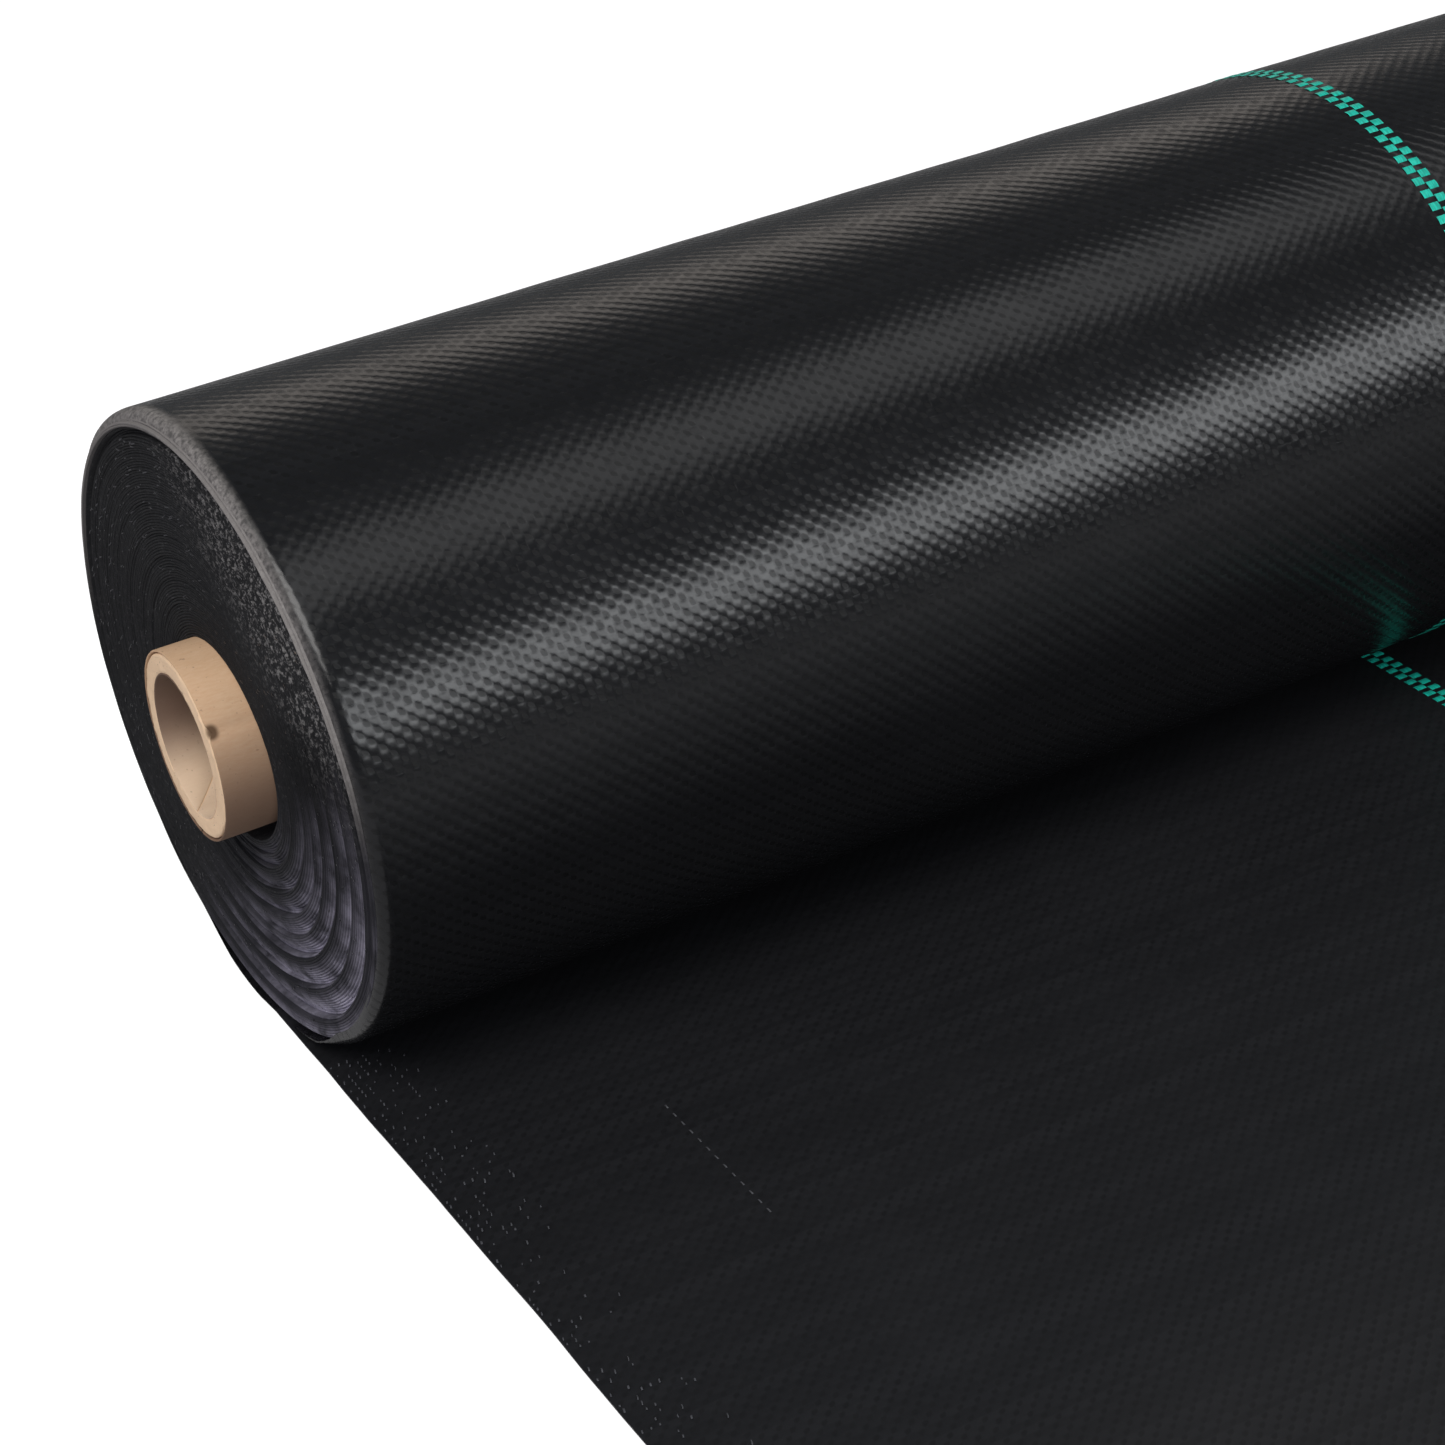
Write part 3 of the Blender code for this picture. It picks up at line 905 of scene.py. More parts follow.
def paper_material(name, colour, groups, speckle, relief, age_and_shade=NO_AGE_OR_SHADE):
    """Paper or board, darker round the nick of the near rim, and browner on one side, partly from
    ageing and partly as painted shade.
    """
    material, tree, shader, place = new_material(name, 0.25)
    paper = use_group(tree, groups["paper"], Position=place, Colour=tint(colour), Speckle=speckle)
    back, up = from_axis(tree, place)
    # Painted shade mixed with ageing: the paper is painted browner towards one side
    aged_and_shaded_share, facing, reach = age_and_shade
    toward_side = plus(tree, times(tree, back, facing[0]), times(tree, up, facing[1]))
    brown = remap(tree, toward_side, *reach, 0.0, aged_and_shaded_share, smooth=True)
    browner = mix_colour(tree, brown, paper.outputs["Colour"], PAPER_BROWNED)
    # Darker round the nick in the near rim
    nick_dark_place = near_rim_place(NICK_ANGLE, CORE_RADIUS) + np.array([NICK_DARK_BEHIND, 0.0, 0.0])
    away = vector_maths(tree, "DISTANCE", place, tuple(nick_dark_place)).outputs["Value"]
    nick_darkening = remap(tree, away, *NICK_DARK_FADE, 0.0, 0.92, smooth=True)
    darkened_at_nick = mix_colour(tree, nick_darkening, browner, PAPER_NICK_DARK)
    roughness = remap(tree, paper.outputs["Height"], 0.4, 1.2, 0.70, 0.90)
    finish_surface(tree, shader, darkened_at_nick, roughness, paper.outputs["Height"], relief)
    return material


# Shapes of the fabric

def outer_turn_radius(fabric, angle):
    """Outside of the outermost turn: flat on the ground, then in by one layer in a full turn."""
    flat = math.acos(min(1.0, AXIS_Z / fabric.roll_radius))
    round_part = fabric.roll_radius - fabric.thickness * angle / FULL_TURN
    return np.where(angle <= flat, AXIS_Z / np.cos(np.minimum(angle, flat)), round_part)


def columns_across(count):
    """Places across the web, from left to right, with a given count between its margins."""
    near = np.array(EDGE_COLUMNS_MM) * MM
    middle = np.linspace(-HALF_WIDTH + EDGE_MARGIN, HALF_WIDTH - EDGE_MARGIN, count)
    return np.concatenate([near - HALF_WIDTH, middle, (HALF_WIDTH - near)[::-1]])


def rounding(across, depth):
    """How far the web turns in at its edges."""
    inward = np.minimum(HALF_WIDTH - np.abs(across), depth)
    return depth - np.sqrt(np.maximum(depth ** 2 - (depth - inward) ** 2, 0.0))


def slanted(x, along, angle, lengths, seed):
    """Noise drawn out along a slanted direction of the web, such as its pull marks."""
    turned = [(x * math.cos(angle) + along * math.sin(angle)) / lengths[0],
              (along * math.cos(angle) - x * math.sin(angle)) / lengths[1], 0 * x]
    return field(np.stack(turned, -1), 1.0, seed)


def turn_ripple(x, angle, radius):
    """How far the outermost turn's slight pull marks and swells lift it."""
    along = radius * angle
    marks = slanted(x, along, *PULL_MARKS)
    swells = slanted(x, along, *SWELLS)
    return MARK_HEIGHT * marks + SWELL_HEIGHT * swells - RIPPLE_SINK


def make_outer_turn(fabric, material):
    """The outermost turn: a thin sheet whose edges turn in, and whose two ends meet the ground."""
    step = FULL_TURN / STEPS_PER_TURN
    under_turn = fabric.roll_radius - fabric.thickness
    end = FULL_TURN - math.acos((AXIS_Z - TURN_END_HEIGHT) / under_turn)
    angle = np.append(np.arange(0.0, end - step / 3, step), end)
    phi, base = np.meshgrid(angle, columns_across(TURN_COLUMNS), indexing="ij")
    radius = outer_turn_radius(fabric, phi)
    lean = radius * np.sin(phi) * math.tan(fabric.lean)
    free = np.clip((radius * (1 - np.cos(phi)) - FREE_FROM) / FREE_OVER, 0.0, 1.0)
    points = round_axis(base, radius, phi)
    inward = HALF_WIDTH - np.abs(base)
    wander = uneven(points, TURN_WANDER) * (inward < EDGE_MARGIN)
    curl = rounding(base, fabric.rim_round) * np.clip(free * 4, 0.0, 1.0)
    worn = uneven(points, TURN_WEAR) * (inward < 1.2 * fabric.rim_round)
    outside = radius + free * (turn_ripple(base, phi, fabric.roll_radius) + worn) - curl
    top = round_axis(base + lean + wander, outside, phi)
    bottom = round_axis(base + lean + wander, outside - DRAWN_THICKNESS * fabric.thickness, phi)
    mesh = slab("outer_turn_cloth", top[:, ::-1], bottom[:, ::-1])
    piece = new_piece(mesh, material, "outside_turn", "fabric", "outer_turn")


def sheet_height(x, y):
    """The slight waves of the laid fabric, which die out under the roll."""
    points = np.stack([x, y, np.zeros_like(x)], -1)
    free = np.clip((SHEET_HIGH.y - WAVES_END - y) / WAVES_FADE, 0.0, 1.0)
    waves = WAVE_RISE + uneven(points, WAVES)
    return free * (waves + uneven(points, SMALL_WAVES))


def make_laid_sheet(fabric, material):
    """The fabric on the ground, whose edges wander and lift a little."""
    along = np.linspace(SHEET_HIGH.y, SHEET_LOW.y, LAID_ROWS)
    y, x = np.meshgrid(along, columns_across(LAID_COLUMNS), indexing="ij")
    rise = sheet_height(x, y)
    edge = np.clip(1 - (HALF_WIDTH - np.abs(x)) / LAID_EDGE, 0.0, 1.0)
    places = np.stack([x, y, 0 * x], -1)
    wander = np.sign(x) * edge * uneven(places, LAID_WANDER)
    lift = edge * (EDGE_LIFT + uneven(places, EDGE_LIFT_VARIES))
    top = np.stack([x + wander, y, fabric.thickness + rise + lift], -1)
    bottom = np.stack([x + wander, y, rise + lift], -1)
    mesh = slab("laid_fabric_cloth", top, bottom)
    piece = new_piece(mesh, material, "laid_fabric", "fabric", "laid_sheet")
    wind_up(piece)


def wind_up(piece):
    """Gives the piece a mesh of its own."""
    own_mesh(piece)


def each_fold(radius, angle):
    """For each fold: the share of its reach at these places, its strength there, its step (mm)."""
    around = wrapped(angle)
    for k, (place, pitch, drop, middle, spread) in enumerate(FOLDS):
        strength = bump_at(around, math.radians(middle), math.radians(spread))
        edge = place * MM + FOLD_WANDER * np.sin(1.5 * around + 1.7 * k)
        yield (edge - radius) / (pitch * MM), strength, drop


def tooth(share):
    """A step that comes on over the first part of its reach and then runs out in a curve."""
    return np.clip(share / 0.14, 0.0, 1.0) * np.clip((1 - share) / 0.86, 0.0, 1.0) ** 1.8


def end_stand(fabric, radius, angle):
    """How far the layers' edges stand out of the near end, and as far in at the far end.

    The web has one width, so what stands out at one end is missing at the other. The outermost
    layers make a raised rim with a groove inside it, and loosened layers make folds.
    """
    around = wrapped(angle)
    rim = fabric.roll_radius - fabric.rim_round
    drift = RIM_DRIFT * np.sin(2 * around)
    upper = 0.2 + 0.8 * np.clip(0.55 - 0.9 * np.cos(around), 0.0, 1.0)
    stand = RIM_PROUD * upper * bump_at(radius, rim - RIM_INSIDE + drift, RIM_BAND)
    stand -= GROOVE_DEPTH * upper * bump_at(radius, rim - GROOVE_INSIDE + drift, RIM_BAND)
    over = np.clip(radius - rim, 0.0, 0.9 * fabric.rim_round)
    stand -= fabric.rim_round - np.sqrt(fabric.rim_round ** 2 - over ** 2) + 0.6 * over
    for share, strength, drop in each_fold(radius, angle):
        stand -= drop * MM * (FOLD_EVERYWHERE + strength) * tooth(share)
    inner = np.clip(1 - (radius - DISH_FROM) / DISH_BAND, 0.0, 1.0)
    return stand - DISH_DEPTH * inner


def fold_shade(radius, angle):
    """How far the loosened layers turn to the light: more outward in each fold, up to its edge."""
    shade = 0 * radius
    for share, strength, drop in each_fold(radius, angle):
        lit = np.clip(share / 0.16, 0.0, 1.0) * np.clip(1 - share, 0.0, 1.0) ** 1.5
        window = SHADE_EVERYWHERE + (1 - SHADE_EVERYWHERE) * strength
        shade += lit * window * (0.35 + 0.25 * drop)
    return np.clip(shade, 0.0, 1.0)


def layer_centre(radius):
    """Sag of the loosened inner layers, which hang on the core and leave a gap under it."""
    slack = np.clip(1 - (radius - SAG_FROM) / SAG_BAND, 0.0, 1.0) ** 1.4
    return SAG * slack * math.sin(SAG_ANGLE), -SAG * slack * math.cos(SAG_ANGLE)


def ragged_edge(turns, angle, radius):
    """How far the layers' edges stray from a smooth end, most in one patch."""
    ragged = noise_at(turns * 19.7, np.floor(turns) * 3.1, 0.5)
    by_turn = noise_at(turns * 1.31, 8.5, 1.5)
    fine = noise_at(turns * 71.0, 2.5, np.floor(turns) * 1.7)
    patch = bump_at(wrapped(angle), PATCH_ANGLE, PATCH_SPREAD)
    patch = patch * bump_at(radius / MM, PATCH_PLACE_MM, PATCH_BAND_MM)
    return (UNEVEN_TURNS * by_turn + (RAGGED[0] + RAGGED[1] * patch) * ragged
            + (FINELY_RAGGED[0] + FINELY_RAGGED[1] * patch) * fine)


def make_wound_layers(fabric, material):
    """All the layers between the outer turn and the core, as one unbroken spiral of thin cloth."""
    turns = np.arange(fabric.layers * STEPS_PER_TURN + 1) / STEPS_PER_TURN
    angle = FULL_TURN * turns
    outermost = fabric.roll_radius - LAYERS_UNDER_TURN * fabric.thickness
    innermost = CORE_RADIUS + LAYERS_OVER_CORE
    pitch = (outermost - innermost) / fabric.layers
    outer = outermost - pitch * turns
    inner = outer - LAYER_FILL * pitch
    middle = (outer + inner) / 2
    lean = middle * np.sin(angle) * math.tan(fabric.lean)
    shift = lean - end_stand(fabric, middle, angle) - ragged_edge(turns, angle, middle)
    left_tip, right_tip = shift - HALF_WIDTH, shift + HALF_WIDTH
    left, right = left_tip + LAYER_TIP, right_tip - LAYER_TIP
    ring = [(left, outer), (right, outer), (right_tip, middle), (right, inner), (left, inner),
            (left_tip, middle)]
    sections = np.stack([round_axis(x, radius, angle) for x, radius in ring], axis=1)
    side_shift, down_shift = layer_centre(middle)
    sections[:, :, 1] += side_shift[:, None]
    sections[:, :, 2] += down_shift[:, None]
    mesh = loft("wound_layers", sections, math.radians(75))
    shade = mesh.attributes.new(FOLD_SHADE, "FLOAT", "POINT")
    shade.data.foreach_set("value", np.repeat(fold_shade(middle, angle), len(ring)).tolist())
    piece = new_piece(mesh, material, "wound_roll", "fabric", "wound_pack")


def scatter(count, seed):
    """Random numbers from 0 to 1, the same in each run, in three columns."""
    return np.random.default_rng(seed).random((count, 3))


def flakes(name, middles, along, upward, lengths, widths, material, body):
    """Small bent slips of bare tape, each lying along one direction and facing another."""
    along = along / np.linalg.norm(along, axis=1)[:, None]
    across = np.cross(upward, along)
    across /= np.linalg.norm(across, axis=1)[:, None]
    facing = np.cross(along, across)
    points = np.zeros((len(middles), 3, 2, 3))
    for i, step in enumerate((-0.5, 0.0, 0.5)):
        for j, side in enumerate((-0.5, 0.5)):
            bend = FLAKE_BEND * lengths if i == 1 else 0 * lengths
            points[:, i, j] = (middles + along * (step * lengths)[:, None]
                               + across * (side * widths)[:, None] + facing * bend[:, None])
    faces = []
    for k in range(len(middles)):
        faces += grid_faces(3, 2, k * 6)
    return new_piece(mesh_from(name, points, faces), material, body, "fabric")


def make_stray_tapes(fabric, material):
    """Bare tape ends that stick out of the layers at the roll's two ends."""
    for side, label, seed in ((-1, "left", 13), (1, "right", 61)):
        spread = scatter(STRAY_COUNT, seed)
        radius = STRAY_FROM + (STRAY_TO - STRAY_FROM) * np.sqrt(spread[:, 0])
        angle = FULL_TURN * spread[:, 1]
        turned = noise_at(np.arange(STRAY_COUNT) * 0.37, 4.2, 0.1)
        x = side * (HALF_WIDTH + STRAY_PROUD) - end_stand(fabric, radius, angle)
        x += radius * np.sin(angle) * math.tan(fabric.lean)
        outward = np.tile([float(side), 0.0, 0.0], (STRAY_COUNT, 1))
        radial = round_axis(0 * x, 0 * radius + 1, angle) - np.array([0.0, AXIS_Y, AXIS_Z])
        tangent = np.cross(outward, radial)
        along = tangent + 1.6 * turned[:, None] * radial + 0.5 * spread[:, 2:3] * outward
        lengths = STRAY_LENGTH[0] + STRAY_LENGTH[1] * spread[:, 2] ** 2
        widths = STRAY_WIDTH[0] + STRAY_WIDTH[1] * spread[:, 0]
        flakes("stray_tape_ends_" + label, round_axis(x, radius, angle), along, outward, lengths,
               widths, material, "wound_roll")


def make_edge_fray(fabric, material):
    """Lifted corners of tapes at some crossings along the laid fabric's two edges, in clumps."""
    pick = pick_length(fabric)
    rows = np.arange(math.floor((LAID_LENGTH - FRAY_STOPS) / pick))
    for side, label, seed in ((-1, "left", 29), (1, "right", 83)):
        column, row = (grid.ravel() for grid in np.meshgrid(np.arange(FRAY_COLUMNS), rows))
        spread = scatter(len(column), seed)
        inward = (column + 0.5) * fabric.warp_pitch
        y = SHEET_LOW.y + (row + 0.5) * pick
        clumps = 0.42 + 0.70 * field(np.stack([0 * inward + side, y, inward], -1), FRAY_CLUMP, 3.0)
        kept = spread[:, 1] < clumps * np.exp(-inward / FRAY_REACH)
        spread, inward, y = spread[kept], inward[kept], y[kept]
        x = side * (HALF_WIDTH - inward)
        z = fabric.thickness + sheet_height(x, y) + FRAY_RISE + FRAY_RISE * spread[:, 2]
        turned = noise_at(np.arange(len(x)) * 0.53, 9.1, 0.7)
        along = np.stack([0.3 + 0 * x, 1.0 + 0 * x, 0.35 * turned], -1)
        upward = np.stack([1.2 * turned, 0.6 * turned[::-1], 1.0 + 0 * x], -1)
        lengths = FRAY_LENGTH[0] + FRAY_LENGTH[1] * spread[:, 2]
        widths = FRAY_WIDTH[0] + FRAY_WIDTH[1] * spread[:, 0]
        wind_up(flakes("edge_fray_" + label, np.stack([x, y, z], -1), along, upward, lengths,
                       widths, material, "laid_fabric"))


def woven_dots(name, x, distances, width, length, height, lay):
    """The stretches of a tape that lie on top of the weave, as pillows that sink at their ends."""
    rows, columns = 5, 4
    v, u = np.meshgrid(np.linspace(-0.5, 0.5, rows), np.linspace(-0.5, 0.5, columns), indexing="ij")
    pillow = np.cos(math.pi * v) * (0.55 + 0.45 * np.cos(math.pi * u * 0.9))
    rise = height * pillow - 0.2 * height
    points = np.zeros((len(distances), rows, columns, 3))
    faces = []
    for k, distance in enumerate(distances):
        points[k] = lay(x + u * width, distance + v * length, rise)
        faces += grid_faces(rows, columns, k * rows * columns)
    return mesh_from(name, points, faces)


def lay_flat(fabric, lift):
    """A function that lays points on the laid fabric, from places across, along and above it."""
    def place(across, along, rise):
        ground = fabric.thickness + sheet_height(across, along) + lift
        return np.stack([across, along, ground + rise], -1)
    return place


def lay_round(fabric, lift):
    """A function that lays points on the outer turn, from places across, round and above it."""
    def place(across, along, rise):
        angle = along / fabric.roll_radius
        radius = outer_turn_radius(fabric, angle)
        lean = radius * np.sin(angle) * math.tan(fabric.lean)
        ripple = turn_ripple(across, angle, fabric.roll_radius)
        return round_axis(across + lean, radius + ripple + lift + rise, angle)
    return place


def dot_places(start, stop, pick, odd):
    """Middles of every other pick between two places."""
    rows = range(math.ceil(start / pick), math.floor(stop / pick))
    return [(row + 0.5) * pick for row in rows if (row + odd) % 2 == 0]


def make_markers(fabric, material):
    """The green tapes of the marker stripes, on the laid length and round the outer turn."""
    pick = pick_length(fabric)
    stretch = MARKER_STRETCH * pick
    for k, ending in enumerate(MARKERS):
        node = "laid_marker_" + ending
        low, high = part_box(node)
        x = (low.x + high.x) / 2
        mesh = woven_dots("laid_green_tape_" + ending, x, dot_places(low.y, high.y, pick, k),
                          MARKER_WIDTH, stretch, LAID_MARKER_HEIGHT,
                          lay_flat(fabric, LAID_MARKER_LIFT))
        wind_up(new_piece(mesh, material, "laid_fabric", "marker_tape", node))
        start, stop = (end * fabric.roll_radius for end in (TURN_MARKER_START, TURN_MARKER_STOP))
        mesh = woven_dots("green_tape_" + ending, x, dot_places(start, stop, pick, k), MARKER_WIDTH,
                          stretch, TURN_MARKER_HEIGHT, lay_round(fabric, TURN_MARKER_LIFT))
        new_piece(mesh, material, "outside_turn", "marker_tape", "turn_marker_" + ending)


def make_pale_yarn(fabric, material):
    """One thin pale warp yarn in the laid length: it shows at every other pick, in stretches."""
    pick = pick_length(fabric)
    places = []
    for start, stop in YARN_STRETCHES:
        places += dot_places(start, stop, pick, math.ceil(start / pick))
    mesh = woven_dots("pale_warp_yarn", YARN_FROM_EDGE - HALF_WIDTH, places, YARN_WIDTH,
                      YARN_STRETCH * pick, YARN_HEIGHT, lay_flat(fabric, YARN_LIFT))
    wind_up(new_piece(mesh, material, "laid_fabric", "fabric"))


# Shapes of the paper core

def near_rim_place(angle, radius):
    """A place on the near rim of the core, with the angle in degrees."""
    return round_axis(-CORE_HALF_LENGTH, radius, math.radians(angle))


def chip(points):
    """The same points with a nick in the near rim and a burr of torn board beside it."""
    nick = np.linalg.norm(points - near_rim_place(NICK_ANGLE, CORE_RADIUS), axis=-1)
    burr = np.linalg.norm(points - near_rim_place(BURR_ANGLE, CORE_RADIUS - BURR_INSIDE), axis=-1)
    deep, proud = bump_at(nick, 0.0, NICK_WIDTH), bump_at(burr, 0.0, BURR_WIDTH)
    chipped = points.copy()
    chipped[..., 0] += NICK_DEPTH * deep - BURR_HEIGHT * proud
    chipped[..., 1] += (AXIS_Y - points[..., 1]) * NICK_PULL * deep
    chipped[..., 2] += (AXIS_Z - points[..., 2]) * NICK_PULL * deep
    return chipped


def make_core_wall(material):
    """The board of the core: a turned tube whose sawn edges are rough, with a nick in one rim."""
    outside = BOARD_RADIUS - BOARD_CLEARANCE
    bore = outside - BOARD_WALL
    half = CORE_HALF_LENGTH
    depth = half - BOARD_BEVEL_LENGTH
    near = np.array(BOARD_ENDS_MM) * MM
    lengthwise = np.concatenate([near - depth, (depth - near)[::-1]])
    rim = np.linspace(outside - BOARD_BEVEL_RISE, bore + BOARD_BEVEL_RISE, 9)
    profile = [(x, outside) for x in lengthwise]
    profile += [(half, radius) for radius in rim]
    profile += [(x, bore) for x in lengthwise[::-1]]
    profile += [(-half, radius) for radius in rim[::-1]]
    x, radius = np.array(profile).T
    angle = np.linspace(0, FULL_TURN, CORE_SIDES, endpoint=False)
    phi, x = np.meshgrid(angle, x, indexing="ij")
    radius = np.broadcast_to(radius, x.shape)
    points = round_axis(x, radius, phi)
    on_rim = np.clip(1 - (half - np.abs(x)) / RIM_DEPTH, 0.0, 1.0)
    rough = on_rim * (uneven(points, COARSE_ROUGH) + uneven(points, FINE_ROUGH))
    sections = chip(round_axis(x - np.sign(x) * rough, radius, phi))
    mesh = closed_tube("core_board", sections, math.radians(50))
    new_piece(mesh, material, "wound_roll", "core_board", "core_wall")


def make_ply(core, name, node, inside, outside, material):
    """One paper ply, wound as a helix whose edges nearly meet, worn at the core's ends."""
    half = CORE_HALF_LENGTH
    band = core.ply_pitch - core.seam
    end = FULL_TURN * (2 * half + band - PLY_SHORT) / core.ply_pitch
    angle = np.arange(PLY_START, end, FULL_TURN / CORE_SIDES)
    leading = core.ply_pitch * angle / FULL_TURN - half
    left = np.maximum(-half, leading - band)
    right = np.minimum(half, leading)
    wear = np.minimum(PLY_WEAR, PLY_WEAR_SHARE * (right - left))
    ring = [(left + wear, outside), (right - wear, outside), (right, outside - 0.6 * wear),
            (right, inside + 0.6 * wear), (right - wear, inside), (left + wear, inside),
            (left, inside + 0.6 * wear), (left, outside - 0.6 * wear)]
    sections = np.stack([round_axis(x, radius, angle) for x, radius in ring], axis=1)
    on_rim = half - np.abs(sections[:, :, 0]) < RIM_DEPTH
    rough = uneven(sections, PLY_ROUGH) * on_rim
    sections[:, :, 0] -= np.sign(sections[:, :, 0]) * np.abs(rough)
    mesh = loft(name, chip(sections)[:, ::-1], math.radians(50))
    new_piece(mesh, material, "wound_roll", "core_paper", node)


# Stage

def floor_material():
    """A pale floor that the camera sees as white, apart from the object's shadow."""
    material, tree, shader, place = new_material("pale_floor", 0.1)
    shader.inputs["Roughness"].default_value = 0.9
    tree.links.new(mix_colour(tree, cloud(tree, place, 3.0, 2.0), *FLOOR_COLOURS),
                   shader.inputs["Base Color"])
    glow = tree.nodes.new("ShaderNodeEmission")
    glow.inputs["Color"].default_value = WHITE
    path = tree.nodes.new("ShaderNodeLightPath")
    distance = tree.nodes.new("ShaderNodeVectorMath")
    distance.operation = "LENGTH"
    tree.links.new(place, distance.inputs[0])
    level = remap(tree, distance.outputs["Value"], *GLOW_REACH, *GLOW_LEVEL, smooth=True)
    tree.links.new(times(tree, path.outputs["Is Camera Ray"], level), glow.inputs["Strength"])
    both = tree.nodes.new("ShaderNodeAddShader")
    tree.links.new(shader.outputs[0], both.inputs[0])
    tree.links.new(glow.outputs[0], both.inputs[1])
    tree.links.new(both.outputs[0], tree.nodes["Material Output"].inputs["Surface"])
    return material


def make_floor():
    """A wide floor just under the laid fabric."""
    corners = np.array([[-1, -1, 0], [1, -1, 0], [1, 1, 0], [-1, 1, 0]]) * FLOOR_REACH
    mesh = mesh_from("floor", corners, [(0, 1, 2, 3)])
    mesh.materials.append(floor_material())
    floor = bpy.data.objects.new("floor", mesh)
    bpy.context.scene.collection.objects.link(floor)
    floor.location.z = CAD_LOW[2] - FLOOR_GAP
    floor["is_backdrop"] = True


def make_world():
    """A white background for the camera, and a dim cool one for everything else."""
    world = bpy.data.worlds.new("studio")
    bpy.context.scene.world = world
    world.use_nodes = True
    tree = world.node_tree
    sky = tree.nodes["Background"]
    path = tree.nodes.new("ShaderNodeLightPath")
    seen = maths(tree, "MAXIMUM", path.outputs["Is Camera Ray"],
                 path.outputs["Is Transmission Ray"])
    tree.links.new(mix_colour(tree, seen, WORLD_TINT, WHITE), sky.inputs["Color"])
    tree.links.new(remap(tree, seen, 0.0, 1.0, WORLD_LEVEL, 1.0), sky.inputs["Strength"])


def add_lamp(name, place, target, size, power, colour):
    """A soft rectangular lamp that faces its target."""
    light = bpy.data.lights.new(name, "AREA")
    light.shape = "RECTANGLE"
    light.size, light.size_y = size
    light.energy = power
    light.color = colour
    lamp = bpy.data.objects.new(name, light)
    bpy.context.scene.collection.objects.link(lamp)
    lamp.location = place
    lamp.rotation_euler = (Vector(target) - Vector(place)).to_track_quat("-Z", "Y").to_euler()
    return lamp


def make_camera(stage):
    """The camera at the photograph's angle, turned a little about its line of sight."""
    data = bpy.data.cameras.new("camera")
    data.lens = stage.lens
    data.sensor_width = SENSOR_WIDTH
    data.clip_start, data.clip_end = CLIP_NEAR, CLIP_FAR
    camera = bpy.data.objects.new("camera", data)
    bpy.context.scene.collection.objects.link(camera)
    az, down, roll = stage.azimuth, stage.descent, stage.roll
    ahead = Vector((math.sin(az) * math.cos(down), math.cos(az) * math.cos(down), -math.sin(down)))
    level = Vector((math.cos(az), -math.sin(az), 0.0))
    upright = level.cross(ahead)
    right = level * math.cos(roll) + upright * math.sin(roll)
    up = upright * math.cos(roll) - level * math.sin(roll)
    turn = Matrix((right, up, -ahead)).transposed()
    camera.matrix_world = Matrix.Translation(stage.camera_place) @ turn.to_4x4()
    bpy.context.scene.camera = camera


# Operators

GROUPS = {}


def shared_groups():
    """The shared node groups, built the first time that a material needs them."""
    if not GROUPS:
        GROUPS["roll"] = roll_distance_group()
        GROUPS["weave"] = plain_weave_group()
        GROUPS["paper"] = paper_group()
    return GROUPS


class FABRICROLL_OT_outer_turn(bpy.types.Operator):
    """Make the outermost turn of the fabric"""
    bl_idname = "fabric_roll.outer_turn"
    bl_label = "Outer turn"

    def execute(self, context):
        fabric = context.scene.fabric_roll_fabric
        make_outer_turn(fabric, roll_fabric_material(fabric, shared_groups()))
        return {"FINISHED"}


class FABRICROLL_OT_wound_layers(bpy.types.Operator):
    """Make the wound layers and the tape ends that stick out of them"""
    bl_idname = "fabric_roll.wound_layers"
    bl_label = "Wound layers"

    def execute(self, context):
        fabric = context.scene.fabric_roll_fabric
        make_wound_layers(fabric, layer_edge_material(fabric))
        make_stray_tapes(fabric, stray_tape_material("bare_tape_ends", BARE_TAPE))
        return {"FINISHED"}


class FABRICROLL_OT_laid_fabric(bpy.types.Operator):
    """Make the length of fabric that lies on the ground"""
    bl_idname = "fabric_roll.laid_fabric"
    bl_label = "Laid fabric"

    def execute(self, context):
        fabric = context.scene.fabric_roll_fabric
        make_laid_sheet(fabric, laid_fabric_material(fabric, shared_groups()))
        make_edge_fray(fabric, stray_tape_material("frayed_edge_tapes", FRAYED_TAPE))
        make_pale_yarn(fabric, stray_tape_material("pale_yarn", PALE_YARN))
        return {"FINISHED"}


class FABRICROLL_OT_markers(bpy.types.Operator):
    """Make the green tapes of the marker stripes"""
    bl_idname = "fabric_roll.markers"
    bl_label = "Marker stripes"

    def execute(self, context):
        fabric = context.scene.fabric_roll_fabric
        make_markers(fabric, green_material(fabric))
        return {"FINISHED"}


class FABRICROLL_OT_paper_core(bpy.types.Operator):
    """Make the paper core: its board and its inner and outer plies"""
    bl_idname = "fabric_roll.paper_core"
    bl_label = "Paper core"

    def execute(self, context):
        core = context.scene.fabric_roll_core
        bore = CORE_RADIUS - CORE_WALL
        make_core_wall(paper_material("core_cut_edge", core.cut_colour, shared_groups(), CUT_SPECKLE,
                                      CUT_RELIEF))
        outer = paper_material("outer_paper", core.outer_colour, shared_groups(), PAPER_SPECKLE,
                               PAPER_RELIEF, OUTER_AGE_AND_SHADE)
        make_ply(core, "core_outer_paper", "core_outer_ply", CORE_RADIUS - core.ply_thickness,
                 CORE_RADIUS, outer)
        inner = paper_material("inner_paper", core.inner_colour, shared_groups(), PAPER_SPECKLE,
                               PAPER_RELIEF, INNER_AGE_AND_SHADE)
        make_ply(core, "core_inner_paper", "core_inner_ply", bore, bore + core.ply_thickness, inner)
        return {"FINISHED"}


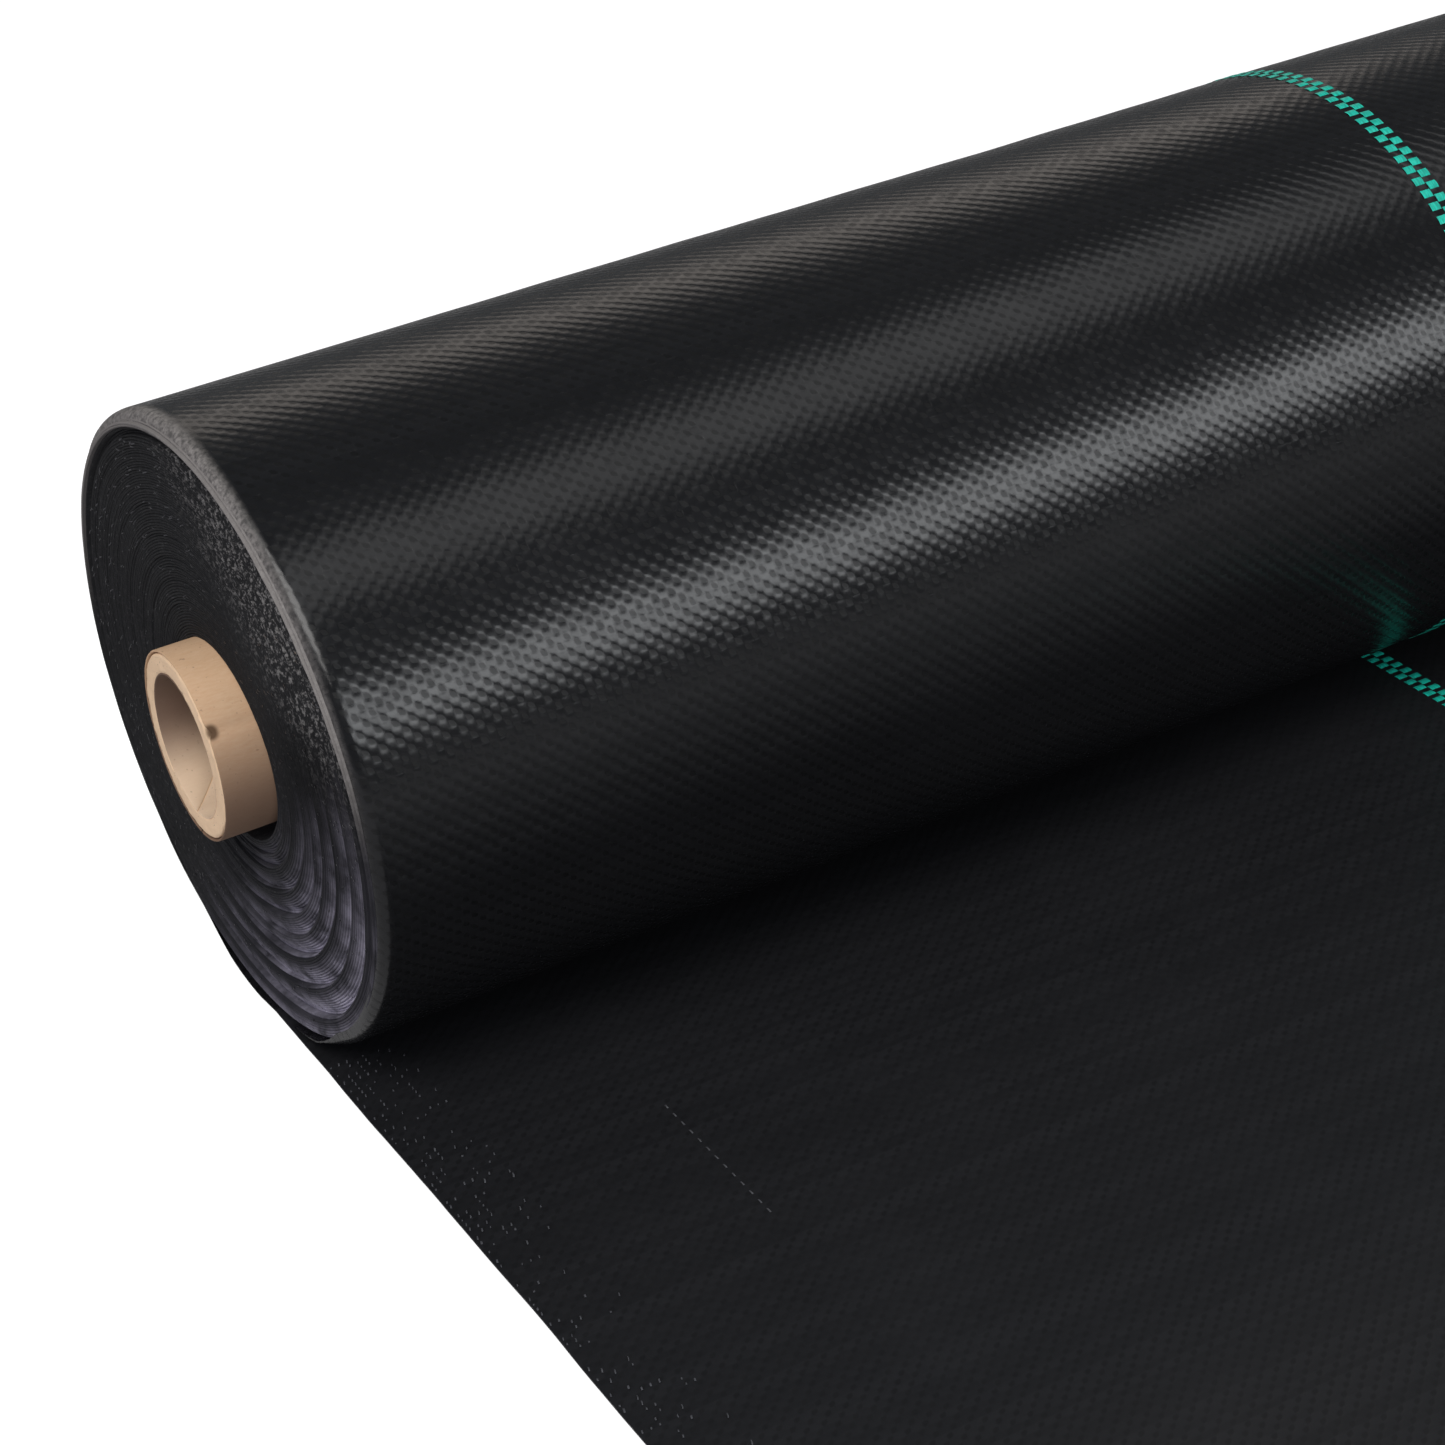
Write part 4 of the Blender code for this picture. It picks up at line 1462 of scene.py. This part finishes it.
class FABRICROLL_OT_stage(bpy.types.Operator):
    """Make the floor, the lights and the camera"""
    bl_idname = "fabric_roll.stage"
    bl_label = "Stage"

    def execute(self, context):
        make_floor()
        make_world()
        for lamp in LAMPS:
            add_lamp(*lamp)
        # It lifts the dull end of the roll, and would add a glare to the fabric
        add_lamp(*END_LAMP).visible_glossy = False
        make_camera(context.scene.fabric_roll_stage)
        context.scene.view_settings.view_transform = "Standard"
        return {"FINISHED"}


OPERATORS = (
    FABRICROLL_OT_outer_turn,
    FABRICROLL_OT_wound_layers,
    FABRICROLL_OT_laid_fabric,
    FABRICROLL_OT_markers,
    FABRICROLL_OT_paper_core,
    FABRICROLL_OT_stage,
)


class FABRICROLL_PT_panel(bpy.types.Panel):
    """Lists the sizes and the operators"""
    bl_idname = "FABRICROLL_PT_panel"
    bl_label = "Fabric roll"
    bl_space_type = "VIEW_3D"
    bl_region_type = "UI"
    bl_category = "Fabric roll"

    def draw(self, context):
        scene = context.scene
        for settings in (scene.fabric_roll_fabric, scene.fabric_roll_core, scene.fabric_roll_stage):
            box = self.layout.box()
            for name in settings.__annotations__:
                box.prop(settings, name)
        for operator in OPERATORS:
            self.layout.operator(operator.bl_idname)


CLASSES = (FabricSettings, CoreSettings, StageSettings, *OPERATORS, FABRICROLL_PT_panel)


def register():
    """Register the classes, and give each scene their settings."""
    for item in CLASSES:
        bpy.utils.register_class(item)
    bpy.types.Scene.fabric_roll_fabric = PointerProperty(type=FabricSettings)
    bpy.types.Scene.fabric_roll_core = PointerProperty(type=CoreSettings)
    bpy.types.Scene.fabric_roll_stage = PointerProperty(type=StageSettings)


def unregister():
    """Take back what register did."""
    del bpy.types.Scene.fabric_roll_stage
    del bpy.types.Scene.fabric_roll_core
    del bpy.types.Scene.fabric_roll_fabric
    for item in reversed(CLASSES):
        bpy.utils.unregister_class(item)


def main():
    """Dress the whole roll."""
    register()
    bpy.ops.fabric_roll.outer_turn()
    bpy.ops.fabric_roll.wound_layers()
    bpy.ops.fabric_roll.laid_fabric()
    bpy.ops.fabric_roll.markers()
    bpy.ops.fabric_roll.paper_core()
    bpy.ops.fabric_roll.stage()


if __name__ == "__main__":
    main()
